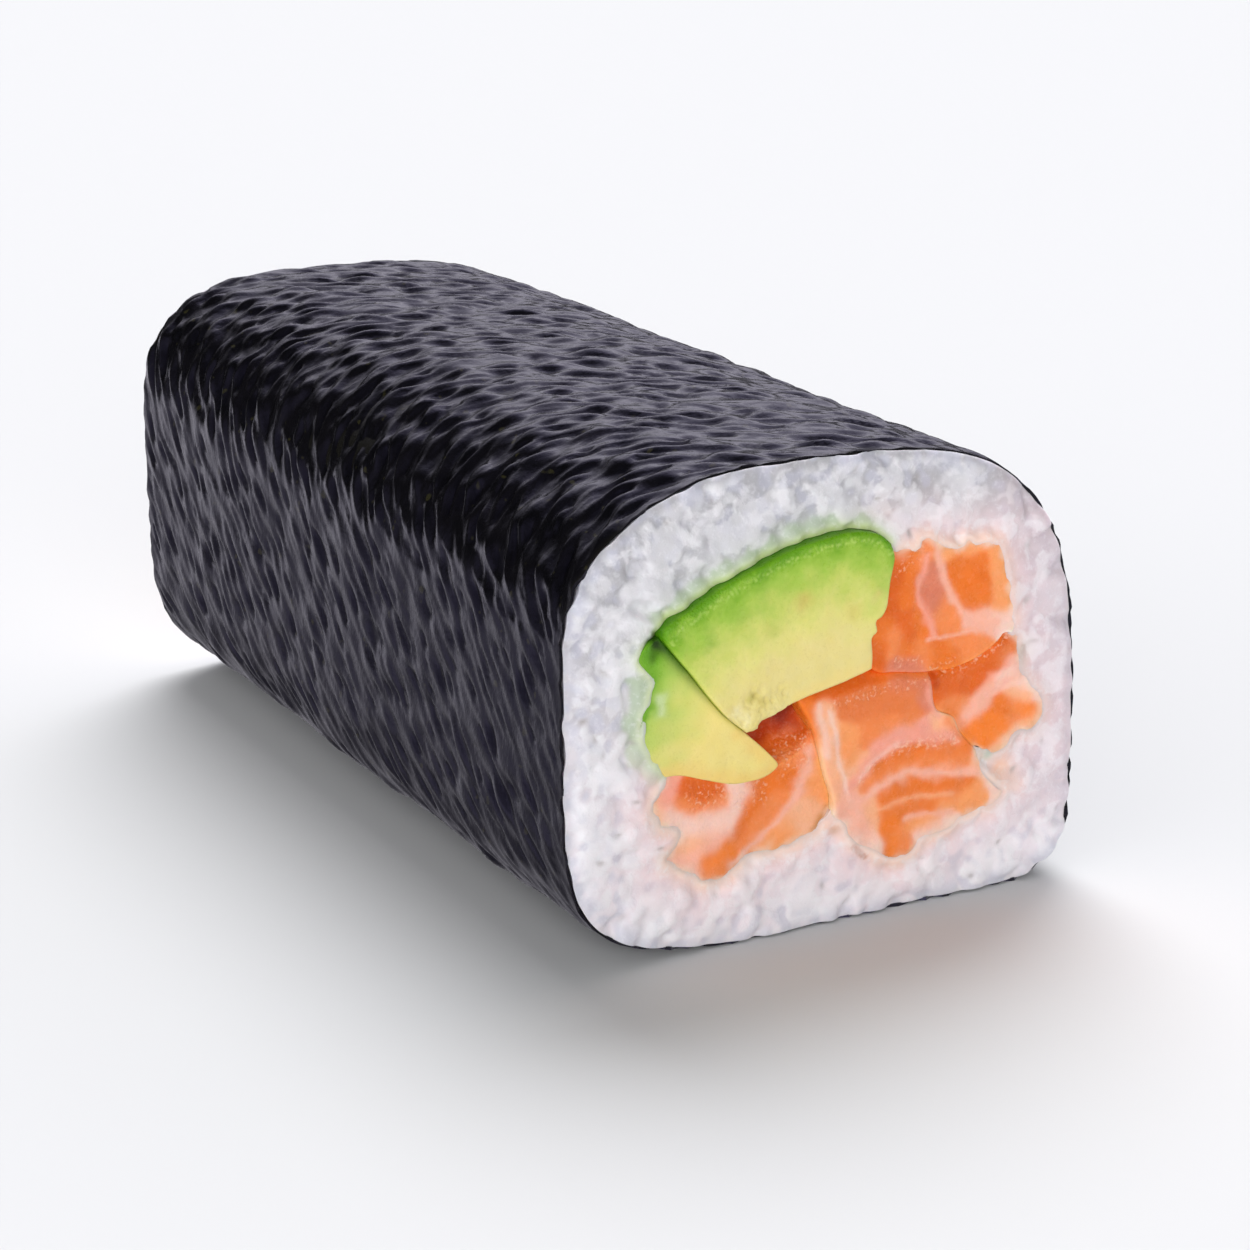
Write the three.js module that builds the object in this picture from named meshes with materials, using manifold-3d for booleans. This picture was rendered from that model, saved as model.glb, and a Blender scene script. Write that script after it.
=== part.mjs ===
// A thick sushi roll, cut square at both ends: two avocado wedges and four salmon strips in rice, wrapped in
// nori. Millimetres, +Z up, the roll lies along Y with its most shown cut at -Y.
import * as THREE from "three";
import { mergeVertices } from "three/addons/utils/BufferGeometryUtils.js";
import Module from "manifold-3d";

const wasm = await Module();
wasm.setup();

// Driving dimensions.
const rollLength = 90;
const noriThickness = 0.5;
const gap = 0.3; // between any two pieces
const pressedFlat = 0.15; // how far the roll's own weight flattens its underside
const swell = 0.25; // height of the soft lumps along the roll
const cutBevel = 0.5; // rounding of a filling's edge at the cut

// Each cut outline is four superellipse quarters. They meet where the outline is furthest left, highest,
// furthest right and lowest, as [x, z]. Fullness 2 is an ellipse, and more is squarer.
const frontOutline = {
  left: [-24.9, 28.2],
  top: [-7.3, 40.7],
  right: [24.9, 5.4],
  bottom: [17.9, 0],
  fullness: [1.95, 3.9, 1.9, 6.6],
};
const backOutline = {
  left: [-25.4, 26.8],
  top: [-8.3, 41],
  right: [24.7, 5.2],
  bottom: [17.3, 0],
  fullness: [2.8, 3.6, 1.9, 6.1],
};
const outlineSteps = 64;
const lengthSteps = 8;

// The fillings shift, turn and shrink a little on their way to the back cut.
const fillingCentre = [1, 19.5];
const backTurn = THREE.MathUtils.degToRad(-7);
const backShift = [-0.6, 0.5];
const backShrink = 0.04;
const fillingSteps = 4;
const seamStep = 1.7; // length of one facet along a filling's outline

// Rice grains, as long and as thick as cooked ones. Those at the cuts are fused on to a core of packed rice.
const grainLength = 5.8;
const grainWidth = 2.7;
const grainSizeSpread = 0.15; // share by which a grain is longer or shorter than that
const grainsPerCut = 78;
const grainSpacing = 1.25; // from one grain's ends and middle to the next one's
const grainMargin = 0.8; // from a grain's ends and middle to the nori or the fillings
const grainTilt = 0.35; // radians out of the cut
const grainRise = 0.6; // how far the highest grains stand out of the cut
const grainSides = 6;
const grainRings = 4;
const grainTries = 40000;
const coreDepth = 1; // how far the packed rice lies below the cut
const coreSpare = 0.1; // how far it stays clear of where its grains are trimmed

// Points of the front cut where three pieces meet, as [x, z].
const corners = {
  crevice: [-16.3, 27.7],
  wedgeTip: [-8.7, 18.7],
  underAvocado: [-3.6, 20.6],
  avocadoHeel: [3.3, 22.2],
  avocadoCrown: [4.9, 32.6],
  salmonHub: [9.4, 20.8],
  rightCorner: [17.6, 22.8],
  lowerRight: [15, 12.4],
  salmonCleft: [0, 9.6],
  leftCorner: [-15.8, 16],
};

// Every border between two pieces is stated once: its two corners and the points between them.
const borders = {
  wedges: ["crevice", [-15, 26], [-12.4, 22.6], [-10.3, 20.2], "wedgeTip"],
  wedgeOnSalmon: ["wedgeTip", [-6.6, 16.9], [-5.2, 15.1], [-7.6, 14.1], [-12, 15], "leftCorner"],
  avocadoOverLeft: ["wedgeTip", [-7, 19.3], "underAvocado"],
  avocadoOverCentre: ["underAvocado", [0, 21.3], "avocadoHeel"],
  avocadoBesideTop: ["avocadoHeel", [3.4, 24.7], [4.6, 27], [5.3, 30.9], "avocadoCrown"],
  centreBesideLeft: ["underAvocado", [-2.3, 17.5], [-1.3, 13.8], "salmonCleft"],
  centreUnderTop: ["avocadoHeel", [6, 21.3], "salmonHub"],
  centreBesideRight: ["salmonHub", [10.4, 17.4], [12.3, 16], "lowerRight"],
  rightUnderTop: ["salmonHub", [12, 20.8], [14.5, 21.4], "rightCorner"],
  avocadoRim: ["crevice", [-15.2, 29.8], [-10.3, 31.7], [-5, 33.4], [1, 34.3], [3.9, 33.8], "avocadoCrown"],
  topRim: ["avocadoCrown", [8, 32.3], [12, 31.6], [16.2, 31.2], [17.6, 27], [18.2, 24], "rightCorner"],
  rightRim: ["rightCorner", [19.2, 21.5], [20.8, 18], [21.3, 15.3], [20.3, 13.4], [17, 12.2], "lowerRight"],
  centreRim: ["lowerRight", [16.2, 10], [17.5, 8.2], [12.3, 5.9], [7, 4.2], [2.3, 6.9], "salmonCleft"],
  leftRim: ["salmonCleft", [-5, 7.5], [-11.4, 6], [-15.8, 8.5], [-14.8, 10.6], [-16.8, 13], "leftCorner"],
  wedgeRim: ["leftCorner", [-17.2, 18.2], [-17.9, 20.8], [-17.2, 24], [-17.9, 26.2], "crevice"],
};

// The fillings: the borders round each one, how far it stands out of the front and back cuts, and its colour.
const fillings = [
  {
    name: "avocado_large",
    borders: ["avocadoRim", "avocadoBesideTop", "avocadoOverCentre", "avocadoOverLeft", "wedges"],
    stands: [1.2, 0.7],
    colour: 0xc5cf6b,
  },
  {
    name: "avocado_small",
    borders: ["wedges", "wedgeOnSalmon", "wedgeRim"],
    stands: [0.4, 1],
    colour: 0xd3d37a,
  },
  {
    name: "salmon_top_right",
    borders: ["topRim", "rightUnderTop", "centreUnderTop", "avocadoBesideTop"],
    stands: [0.3, 0.5],
    colour: 0xee8a52,
  },
  {
    name: "salmon_right",
    borders: ["rightRim", "centreBesideRight", "rightUnderTop"],
    stands: [0.1, 0.9],
    colour: 0xec7f45,
  },
  {
    name: "salmon_center",
    borders: [
      "centreRim",
      "centreBesideLeft",
      "avocadoOverCentre",
      "centreUnderTop",
      "centreBesideRight",
    ],
    stands: [1, 0.4],
    colour: 0xf0925c,
  },
  {
    name: "salmon_left",
    borders: ["leftRim", "wedgeOnSalmon", "avocadoOverLeft", "centreBesideLeft"],
    stands: [-0.3, 0.6],
    colour: 0xee8b58,
  },
];
const rimNames = ["avocadoRim", "topRim", "rightRim", "centreRim", "leftRim", "wedgeRim"];

// A shallow hollow in the left salmon strip's front end, where it drops away under the avocado.
const recessCentre = [-5.6, 18.2];
const recessRadii = [3.6, 2.6, 3.2];

// The same draw on every run.
function seededRandom(seed) {
  let state = seed;
  return () => {
    state = (state * 1664525 + 1013904223) % 4294967296;
    return state / 4294967296;
  };
}

const shareOfLength = (y) => y / rollLength + 0.5;

// A point of one end's outline, for a turn from 0 to 1: left, top, right, bottom and back to left.
function outlinePoint(outline, turn) {
  const stops = [outline.left, outline.top, outline.right, outline.bottom, outline.left];
  const quarter = Math.floor(turn * 4) % 4;
  const angle = ((turn * 4) % 1) * (Math.PI / 2);
  const power = 2 / outline.fullness[quarter];
  const leaving = 1 - Math.cos(angle) ** power;
  const arriving = Math.sin(angle) ** power;
  const [from, to] = [stops[quarter], stops[quarter + 1]];
  const startsUpright = quarter % 2 === 0;
  const xShare = startsUpright ? leaving : arriving;
  const zShare = startsUpright ? arriving : leaving;
  return new THREE.Vector2(
    THREE.MathUtils.lerp(from[0], to[0], xShare),
    THREE.MathUtils.lerp(from[1], to[1], zShare),
  );
}

// The roll's outer surface at a place along it, before the underside is flattened.
function skinPoint(turn, y) {
  const front = outlinePoint(frontOutline, turn);
  const back = outlinePoint(backOutline, turn);
  return front.lerp(back, shareOfLength(y));
}

// Soft lumps from the rice below, three round the roll and two along it. They fade out towards the cuts.
function lump(turn, y) {
  const along = shareOfLength(y);
  const fade = Math.max(0, Math.sin(Math.PI * along));
  const round = Math.sin(2 * Math.PI * (3 * turn + along));
  return swell * fade * round * Math.cos(2 * Math.PI * 2 * along);
}

// One ring round the roll, a given depth below its outer surface.
function rollRing(y, depth) {
  const nearby = 0.004; // a small part of a turn, for the direction of the outline
  const ring = [];
  for (let step = 0; step < outlineSteps; step++) {
    const turn = step / outlineSteps;
    const ahead = skinPoint((turn + nearby) % 1, y);
    const behind = skinPoint((turn + 1 - nearby) % 1, y);
    const along = ahead.sub(behind).normalize();
    const inset = depth - lump(turn, y);
    const point = skinPoint(turn, y);
    const x = point.x + along.y * inset;
    const z = point.y - along.x * inset;
    ring.push(new THREE.Vector3(x, y, Math.max(z - pressedFlat, depth)));
  }
  return ring;
}

// Evenly spaced places from one end to the other.
function stations(from, to, steps) {
  return Array.from({ length: steps + 1 }, (_, step) => from + ((to - from) * step) / steps);
}

function wallBetween(lower, upper, count, indices) {
  for (let step = 0; step < count; step++) {
    const next = (step + 1) % count;
    indices.push(lower + step, upper + next, upper + step);
    indices.push(lower + step, lower + next, upper + next);
  }
}

function geometryOf(points, indices) {
  const geometry = new THREE.BufferGeometry().setFromPoints(points);
  geometry.setIndex(indices);
  return geometry;
}

// A solid through rings of equal length, with a cap on the first and the last.
function loft(rings) {
  const count = rings[0].length;
  const indices = [];
  for (let ring = 0; ring + 1 < rings.length; ring++) {
    wallBetween(ring * count, (ring + 1) * count, count, indices);
  }
  const capOf = (ring) =>
    THREE.ShapeUtils.triangulateShape(
      ring.map((point) => new THREE.Vector2(point.x, point.z)),
      [],
    );
  for (const [a, b, c] of capOf(rings[0])) indices.push(a, b, c);
  const last = (rings.length - 1) * count;
  for (const [a, b, c] of capOf(rings.at(-1))) indices.push(last + c, last + b, last + a);
  return geometryOf(rings.flat(), indices);
}

// A tube's wall: rings along its outside and back along its inside, the last joined to the first.
function tubeWall(rings) {
  const count = rings[0].length;
  const indices = [];
  rings.forEach((_, ring) => {
    wallBetween(ring * count, ((ring + 1) % rings.length) * count, count, indices);
  });
  return geometryOf(rings.flat(), indices);
}

function solidOf(geometry) {
  const bare = geometry.clone();
  bare.deleteAttribute("normal");
  bare.deleteAttribute("uv");
  const merged = mergeVertices(bare, 1e-4);
  return new wasm.Manifold(
    new wasm.Mesh({
      numProp: 3,
      vertProperties: merged.attributes.position.array,
      triVerts: new Uint32Array(merged.index.array),
    }),
  );
}

function geometryOfSolid(solid) {
  const mesh = solid.getMesh();
  const geometry = new THREE.BufferGeometry();
  geometry.setAttribute("position", new THREE.BufferAttribute(mesh.vertProperties, 3));
  geometry.setIndex(new THREE.BufferAttribute(mesh.triVerts, 1));
  return geometry;
}

// A border's smooth line, as evenly spaced points from its first corner to its last.
function borderLine(name) {
  const line = borders[name].map((at) => new THREE.Vector2(...(corners[at] ?? at)));
  const curve = new THREE.SplineCurve(line);
  return curve.getSpacedPoints(Math.max(2, Math.round(curve.getLength() / seamStep)));
}

// Borders chained end to end into one closed outline, whichever way round each is stated.
function outlineFrom(names) {
  const lines = names.map(borderLine);
  const touches = (line, point) => line[0].distanceTo(point) < 1e-6;
  const [first, second] = lines;
  const startsRight = touches(second, first.at(-1)) || second.at(-1).distanceTo(first.at(-1)) < 1e-6;
  const outline = startsRight ? [...first] : [...first].reverse();
  for (const line of lines.slice(1)) {
    const onwards = touches(line, outline.at(-1)) ? line : [...line].reverse();
    outline.push(...onwards.slice(1));
  }
  outline.pop();
  return THREE.ShapeUtils.isClockWise(outline) ? outline : outline.reverse();
}

// The outline with every side moved inwards, or outwards where the distance is negative.
function insetOutline(outline, distance) {
  const sharpest = 0.45; // keeps a point at a sharp corner from running far away
  return outline.map((point, index) => {
    const before = outline.at(index - 1);
    const after = outline[(index + 1) % outline.length];
    const into = point.clone().sub(before).normalize();
    const out = after.clone().sub(point).normalize();
    const along = into.clone().add(out).normalize();
    const mitre = distance / Math.max(sharpest, along.dot(out));
    return new THREE.Vector2(point.x + along.y * mitre, point.y - along.x * mitre);
  });
}

// Where a point of the front cut's fillings lies further along the roll.
function drift(point, y) {
  const along = shareOfLength(y);
  const centre = new THREE.Vector2(...fillingCentre);
  const moved = point.clone().rotateAround(centre, backTurn * along);
  moved.sub(centre).multiplyScalar(1 - backShrink * along).add(centre);
  moved.addScaledVector(new THREE.Vector2(...backShift), along);
  return new THREE.Vector3(moved.x, y, moved.y);
}

function driftedRing(outline, y) {
  return outline.map((point) => drift(point, y));
}

function filling({ borders: names, stands }) {
  const whole = outlineFrom(names);
  const body = insetOutline(whole, gap / 2);
  const face = insetOutline(whole, gap / 2 + cutBevel);
  const front = -rollLength / 2 - stands[0];
  const back = rollLength / 2 + stands[1];
  return loft([
    driftedRing(face, front),
    ...stations(front + cutBevel, back - cutBevel, fillingSteps).map((y) => driftedRing(body, y)),
    driftedRing(face, back),
  ]);
}

function nori() {
  const places = stations(-rollLength / 2, rollLength / 2, lengthSteps);
  return tubeWall([
    ...places.map((y) => rollRing(y, 0)),
    ...places.toReversed().map((y) => rollRing(y, noriThickness)),
  ]);
}

// The space inside the nori and round the fillings, between two places along the roll, kept a little further
// from both by the spare distance.
function riceSpace(from, to, spare) {
  const tube = loft(
    stations(from, to, lengthSteps).map((y) => rollRing(y, noriThickness + gap + spare)),
  );
  const tunnel = insetOutline(outlineFrom(rimNames), -gap / 2 - spare);
  const beyond = 1; // the tunnel is cut past both ends
  const bore = loft(
    stations(from - beyond, to + beyond, fillingSteps).map((y) => driftedRing(tunnel, y)),
  );
  return solidOf(tube).subtract(solidOf(bore));
}

function insideOutline(point, outline) {
  let inside = false;
  outline.forEach((a, index) => {
    const b = outline.at(index - 1);
    const crosses = a.y > point.y !== b.y > point.y;
    if (crosses && point.x < ((b.x - a.x) * (point.y - a.y)) / (b.y - a.y) + a.x) inside = !inside;
  });
  return inside;
}

// Grains lie all over one cut, in every direction. One that would reach the nori, a filling or the middle of
// another grain is drawn again.
function grainsAt(cutY, outwards, random) {
  const flat = (ring) => ring.map((point) => new THREE.Vector2(point.x, point.z));
  const outside = flat(rollRing(cutY, noriThickness + gap + grainMargin));
  const tunnel = insetOutline(outlineFrom(rimNames), -gap / 2 - grainMargin);
  const inside = flat(driftedRing(tunnel, cutY));
  const free = (point) => insideOutline(point, outside) && !insideOutline(point, inside);
  const area = new THREE.Box2().setFromPoints(outside);
  const extent = area.getSize(new THREE.Vector2());
  const taken = [];
  const grains = [];
  for (let attempt = 0; attempt < grainTries && grains.length < grainsPerCut; attempt++) {
    const middle = new THREE.Vector2(random(), random()).multiply(extent).add(area.min);
    const angle = Math.PI * random();
    const size = 1 + grainSizeSpread * (2 * random() - 1);
    const halfGrain = (size * (grainLength - grainWidth / 2)) / 2;
    const reach = new THREE.Vector2(halfGrain, 0).rotateAround(new THREE.Vector2(), angle);
    const spots = [middle, middle.clone().add(reach), middle.clone().sub(reach)];
    const crowded = spots.some((spot) => taken.some((other) => other.distanceTo(spot) < grainSpacing));
    if (crowded || !spots.every(free)) continue;
    taken.push(...spots);
    const grain = new THREE.SphereGeometry(0.5, grainSides, grainRings);
    grain.scale(grainWidth * size, grainLength * size, grainWidth * size);
    grain.rotateZ(Math.PI / 2 + grainTilt * (2 * random() - 1));
    grain.rotateY(-angle);
    const depth = grainWidth / 2 - grainRise * random();
    grain.translate(middle.x, cutY - outwards * depth, middle.y);
    grains.push(solidOf(grain));
  }
  return grains;
}

function rice() {
  const random = seededRandom(7);
  const cut = rollLength / 2;
  const core = riceSpace(-cut + coreDepth, cut - coreDepth, coreSpare);
  const grains = [...grainsAt(-cut, -1, random), ...grainsAt(cut, 1, random)];
  const heap = wasm.Manifold.union([core, ...grains]);
  const reach = cut + grainLength;
  const trimmed = heap.intersect(riceSpace(-reach, reach, 0));
  const bySize = trimmed.decompose().sort((a, b) => b.volume() - a.volume());
  return geometryOfSolid(bySize[0]);
}

// The left salmon strip with the hollow at its front end.
function hollowedFront(geometry) {
  const hollow = new THREE.SphereGeometry(1, 10, 8);
  hollow.scale(...recessRadii);
  hollow.translate(recessCentre[0], -rollLength / 2, recessCentre[1]);
  return geometryOfSolid(solidOf(geometry).subtract(solidOf(hollow)));
}

function piece(name, geometry, colour, roughness) {
  const material = new THREE.MeshStandardMaterial({ color: colour, roughness, metalness: 0 });
  const mesh = new THREE.Mesh(geometry, material);
  mesh.name = name;
  return mesh;
}

const roll = new THREE.Group();
roll.add(piece("nori", nori(), 0x16171c, 0.5));
roll.add(piece("rice", rice(), 0xe6e3e8, 0.6));
for (const details of fillings) {
  const strip = filling(details);
  const shape = details.name === "salmon_left" ? hollowedFront(strip) : strip;
  roll.add(piece(details.name, shape, details.colour, 0.4));
}

// The origin is under the middle of the whole roll.
const box = new THREE.Box3().setFromObject(roll);
const middle = box.getCenter(new THREE.Vector3());
roll.position.set(-middle.x, -middle.y, -box.min.z);

export default roll;
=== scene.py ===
"""The looks of a thick sushi roll: crinkled nori, sticky rice, two avocado wedges and four salmon strips.

Lengths are in millimetres until a mesh is made. +Z is up and the roll lies along Y. The cut at -Y, which the
photo shows, is called the front, and places on a cut are given as x and z.
"""

import math
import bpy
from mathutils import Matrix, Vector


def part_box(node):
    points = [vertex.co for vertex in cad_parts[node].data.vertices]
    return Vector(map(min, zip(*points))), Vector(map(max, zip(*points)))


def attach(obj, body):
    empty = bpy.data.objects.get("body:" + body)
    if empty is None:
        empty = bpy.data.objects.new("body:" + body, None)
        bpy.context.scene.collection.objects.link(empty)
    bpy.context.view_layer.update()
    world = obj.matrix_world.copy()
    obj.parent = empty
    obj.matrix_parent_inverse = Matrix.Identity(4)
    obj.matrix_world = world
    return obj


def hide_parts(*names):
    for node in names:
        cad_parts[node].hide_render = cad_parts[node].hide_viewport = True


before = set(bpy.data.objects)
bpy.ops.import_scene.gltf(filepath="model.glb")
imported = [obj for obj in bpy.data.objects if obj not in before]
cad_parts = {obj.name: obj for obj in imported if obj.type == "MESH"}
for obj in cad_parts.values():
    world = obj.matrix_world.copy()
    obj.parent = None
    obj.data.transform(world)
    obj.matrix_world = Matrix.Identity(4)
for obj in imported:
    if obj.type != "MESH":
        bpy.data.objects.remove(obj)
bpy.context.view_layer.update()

from types import SimpleNamespace

import bpy
import numpy as np
from mathutils import Vector
from mathutils.geometry import delaunay_2d_cdt

MM = 0.001
FRONT, BACK = 0, 1
OUTWARDS = (-1, 1)  # the way along Y that the front and back cuts face

# ---------------------------------------------------------------- the roll's form, as in the CAD

ROLL_LENGTH = 90
PRESSED_FLAT = 0.15  # how far the roll's own weight flattens its underside
SWELL = 0.25  # height of the soft lumps along the roll
OUTLINES = (  # each cut where it is furthest left, highest, furthest right and lowest, and how square it is
    ([(-24.9, 28.2), (-7.3, 40.7), (24.9, 5.4), (17.9, 0)], [1.95, 3.9, 1.9, 6.6]),
    ([(-25.4, 26.8), (-8.3, 41), (24.7, 5.2), (17.3, 0)], [2.8, 3.6, 1.9, 6.1]),
)
FILLING_CENTRE = np.array([1, 19.5])
BACK_TURN = math.radians(-7)
BACK_SHIFT = np.array([-0.6, 0.5])
BACK_SHRINK = 0.04
NEARBY = 0.004  # a small part of a turn, for the direction of the outline
CAD_TURNS, CAD_RINGS = 64, 9


def unit(vectors):
    return vectors / np.linalg.norm(vectors, axis=-1, keepdims=True)


def run_along(line):
    """How far along a line each of its points has come."""
    return np.append(0, np.cumsum(np.linalg.norm(np.diff(line, axis=0), axis=1)))


def places_along(line, run, at):
    return np.stack([np.interp(at, run, column) for column in line.T], -1)


def share_of_length(y):
    return y / ROLL_LENGTH + 0.5


def outline_points(side, turn):
    """Points of one cut's outline, for turns from 0 to 1: left, top, right, bottom and back to left."""
    stops, fullness = (np.array(part, float) for part in OUTLINES[side])
    quarter = np.floor(turn * 4).astype(int) % 4
    angle = (turn * 4) % 1 * math.pi / 2
    power = 2 / fullness[quarter]
    leaving = 1 - np.cos(angle) ** power
    arriving = np.sin(angle) ** power
    upright = quarter % 2 == 0
    share = np.stack([np.where(upright, leaving, arriving), np.where(upright, arriving, leaving)], -1)
    return stops[quarter] + (stops[(quarter + 1) % 4] - stops[quarter]) * share


def skin(turn, y):
    share = share_of_length(y)[..., None]
    return outline_points(FRONT, turn) * (1 - share) + outline_points(BACK, turn) * share


def run_of_ring():
    """Turns round the roll, and the share of the way round that each of them has come."""
    # The outline runs fast where its quarters meet, so the turns crowd together there.
    step = np.linspace(0, 1, 1000, endpoint=False)
    part = step**4 / (step**4 + (1 - step) ** 4)
    turn = np.append((np.arange(4)[:, None] + part[None, :]).ravel() / 4, 1.0)
    run = run_along(skin(turn % 1, np.zeros_like(turn)))
    return turn, run / run[-1]


RING_TURNS, RING_RUN = run_of_ring()


def lump(turn, y):
    along = share_of_length(y)
    fade = np.maximum(0, np.sin(math.pi * along))
    return SWELL * fade * np.sin(2 * math.pi * (3 * turn + along)) * np.cos(4 * math.pi * along)


def roll_surface(turn, y, depth):
    """The roll's surface, a depth below its outer skin, as x, y, z."""
    along = unit(skin((turn + NEARBY) % 1, y) - skin((turn + 1 - NEARBY) % 1, y))
    inwards = depth - lump(turn, y)
    point = skin(turn, y)
    x = point[..., 0] + along[..., 1] * inwards
    z = point[..., 1] - along[..., 0] * inwards
    return np.stack([x, y + 0 * x, np.maximum(z - PRESSED_FLAT, np.maximum(depth, 0))], -1)


def even_turns(count):
    """Turns whose points are evenly spaced round the roll."""
    return np.interp(np.arange(count) / count, RING_RUN, RING_TURNS)


def at_turn(stops, turns):
    """Values between stops, which are given as a turn and a value."""
    return np.interp(turns, *zip(*stops))


def turned(points, angle):
    x, z = points[..., 0], points[..., 1]
    return np.stack([x * np.cos(angle) - z * np.sin(angle), x * np.sin(angle) + z * np.cos(angle)], -1)


def drift(points, y):
    """Where points of the front cut's fillings lie further along the roll."""
    along = share_of_length(np.broadcast_to(y, points.shape[:-1]))
    shrink = (1 - BACK_SHRINK * along)[..., None]
    moved = turned(points - FILLING_CENTRE, BACK_TURN * along) * shrink
    moved = moved + FILLING_CENTRE + BACK_SHIFT * along[..., None]
    return np.stack([moved[..., 0], np.broadcast_to(y, moved.shape[:-1]), moved[..., 1]], -1)


def undrift(points):
    """The places on the front cut of points on the back cut."""
    rel = (points - FILLING_CENTRE - BACK_SHIFT) / (1 - BACK_SHRINK)
    return turned(rel, -BACK_TURN) + FILLING_CENTRE


# The CAD model is centred on its own box, so the roll moves to where the frame has the nori.
low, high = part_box("nori")
ends = np.array([-ROLL_LENGTH / 2, ROLL_LENGTH / 2])
cad_places = np.repeat(np.linspace(*ends, CAD_RINGS)[:, None], CAD_TURNS, 1)
nori_rings = roll_surface(np.arange(CAD_TURNS)[None] / CAD_TURNS, cad_places, 0.0).reshape(-1, 3)
ORIGIN = (np.array(low) + np.array(high)) / 2 / MM - (nori_rings.min(0) + nori_rings.max(0)) / 2
ORIGIN[2] = 0


# ---------------------------------------------------------------- tools

NOISE_TILE = 64.0  # length after which a noise repeats
NOISE_CELLS = 512


class Noise:
    """A smooth, repeating random surface with waves of about one length, drawn from a seed."""

    def __init__(self, seed, wave, spread=0.45):
        random = np.random.default_rng(seed)
        spectrum = np.fft.fft2(random.standard_normal((NOISE_CELLS, NOISE_CELLS)))
        step = np.fft.fftfreq(NOISE_CELLS, NOISE_TILE / NOISE_CELLS)
        ring = np.hypot(step[:, None], step[None, :]) * wave
        field = np.fft.ifft2(spectrum * np.exp(-(((ring - 1) / spread) ** 2))).real
        self.grid = field / field.std()

    def __call__(self, points):
        spot = points * (NOISE_CELLS / NOISE_TILE)
        base = np.floor(spot).astype(int)
        u, v = np.moveaxis(spot - base, -1, 0)
        i, j = np.moveaxis(base % NOISE_CELLS, -1, 0)
        i1, j1 = (i + 1) % NOISE_CELLS, (j + 1) % NOISE_CELLS
        near = self.grid[i, j] * (1 - u) * (1 - v) + self.grid[i1, j] * u * (1 - v)
        return near + self.grid[i, j1] * (1 - u) * v + self.grid[i1, j1] * u * v


def smoothstep(low, high, value):
    t = np.clip((value - low) / (high - low), 0, 1)
    return t * t * (3 - 2 * t)


def linear(rgb):
    """A colour given in 0 to 255 as the light it stands for."""
    c = np.array(rgb, float) / 255
    return np.where(c <= 0.04045, c / 12.92, ((c + 0.055) / 1.055) ** 2.4)


def distance_to_line(points, line, closed=False):
    """Shortest distance from each point to a polyline."""
    line = np.asarray(line, float)
    best = np.full(len(points), 1e9)
    for a, b in zip(line if closed else line[:-1], np.roll(line, -1, axis=0)):
        d = b - a
        t = np.clip(((points - a) @ d) / max(d @ d, 1e-12), 0, 1)
        best = np.minimum(best, np.linalg.norm(points - a - t[:, None] * d, axis=1))
    return best


def inside(points, outline):
    """True for each point inside a closed outline."""
    x, z = points[:, 0], points[:, 1]
    found = np.zeros(len(points), bool)
    for a, b in zip(outline, np.roll(outline, -1, axis=0)):
        crosses = (a[1] > z) != (b[1] > z)
        with np.errstate(divide="ignore", invalid="ignore"):
            at = (b[0] - a[0]) * (z - a[1]) / (b[1] - a[1]) + a[0]
        found ^= crosses & (x < at)
    return found


def curve_through(points, step):
    """A smooth line through points, evenly spaced."""
    p = np.asarray(points, float)
    p = np.vstack([2 * p[0] - p[1], p, 2 * p[-1] - p[-2]])
    t = np.linspace(0, 1, 24, endpoint=False)[:, None]
    parts = [
        0.5 * (2 * b + (c - a) * t + (2 * a - 5 * b + 4 * c - d) * t**2 + (3 * b - a - 3 * c + d) * t**3)
        for a, b, c, d in zip(p[:-3], p[1:-2], p[2:-1], p[3:])
    ]
    line = np.vstack([*parts, p[-2:-1]])
    run = run_along(line)
    return places_along(line, run, np.linspace(0, run[-1], max(2, int(round(run[-1] / step)) + 1)))


def inset(outline, distance):
    """A closed counterclockwise outline with its sides moved inwards."""
    into = unit(outline - np.roll(outline, 1, axis=0))
    out = unit(np.roll(outline, -1, axis=0) - outline)
    along = into + out
    along /= np.maximum(np.linalg.norm(along, axis=1, keepdims=True), 1e-6)
    mitre = distance / np.maximum(0.6, (along * out).sum(1))
    return outline + np.stack([-along[:, 1], along[:, 0]], -1) * mitre[:, None]


def clean_inset(outline, distance):
    """The inset outline without the loops that form at its tight corners."""
    moved = inset(outline, distance)
    clear = distance_to_line(moved, outline, True) > abs(distance) * 0.97
    return moved[clear & (inside(moved, outline) == (distance > 0))]


def lattice(low, high, spacing):
    """Points of a triangular lattice over a box."""
    rows = [np.arange(low[k], high[k], step) for k, step in enumerate((spacing, spacing * math.sqrt(3) / 2))]
    grid = np.stack(np.meshgrid(*rows, indexing="ij"), -1)
    grid[:, 1::2, 0] += spacing / 2
    return grid.reshape(-1, 2)


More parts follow.
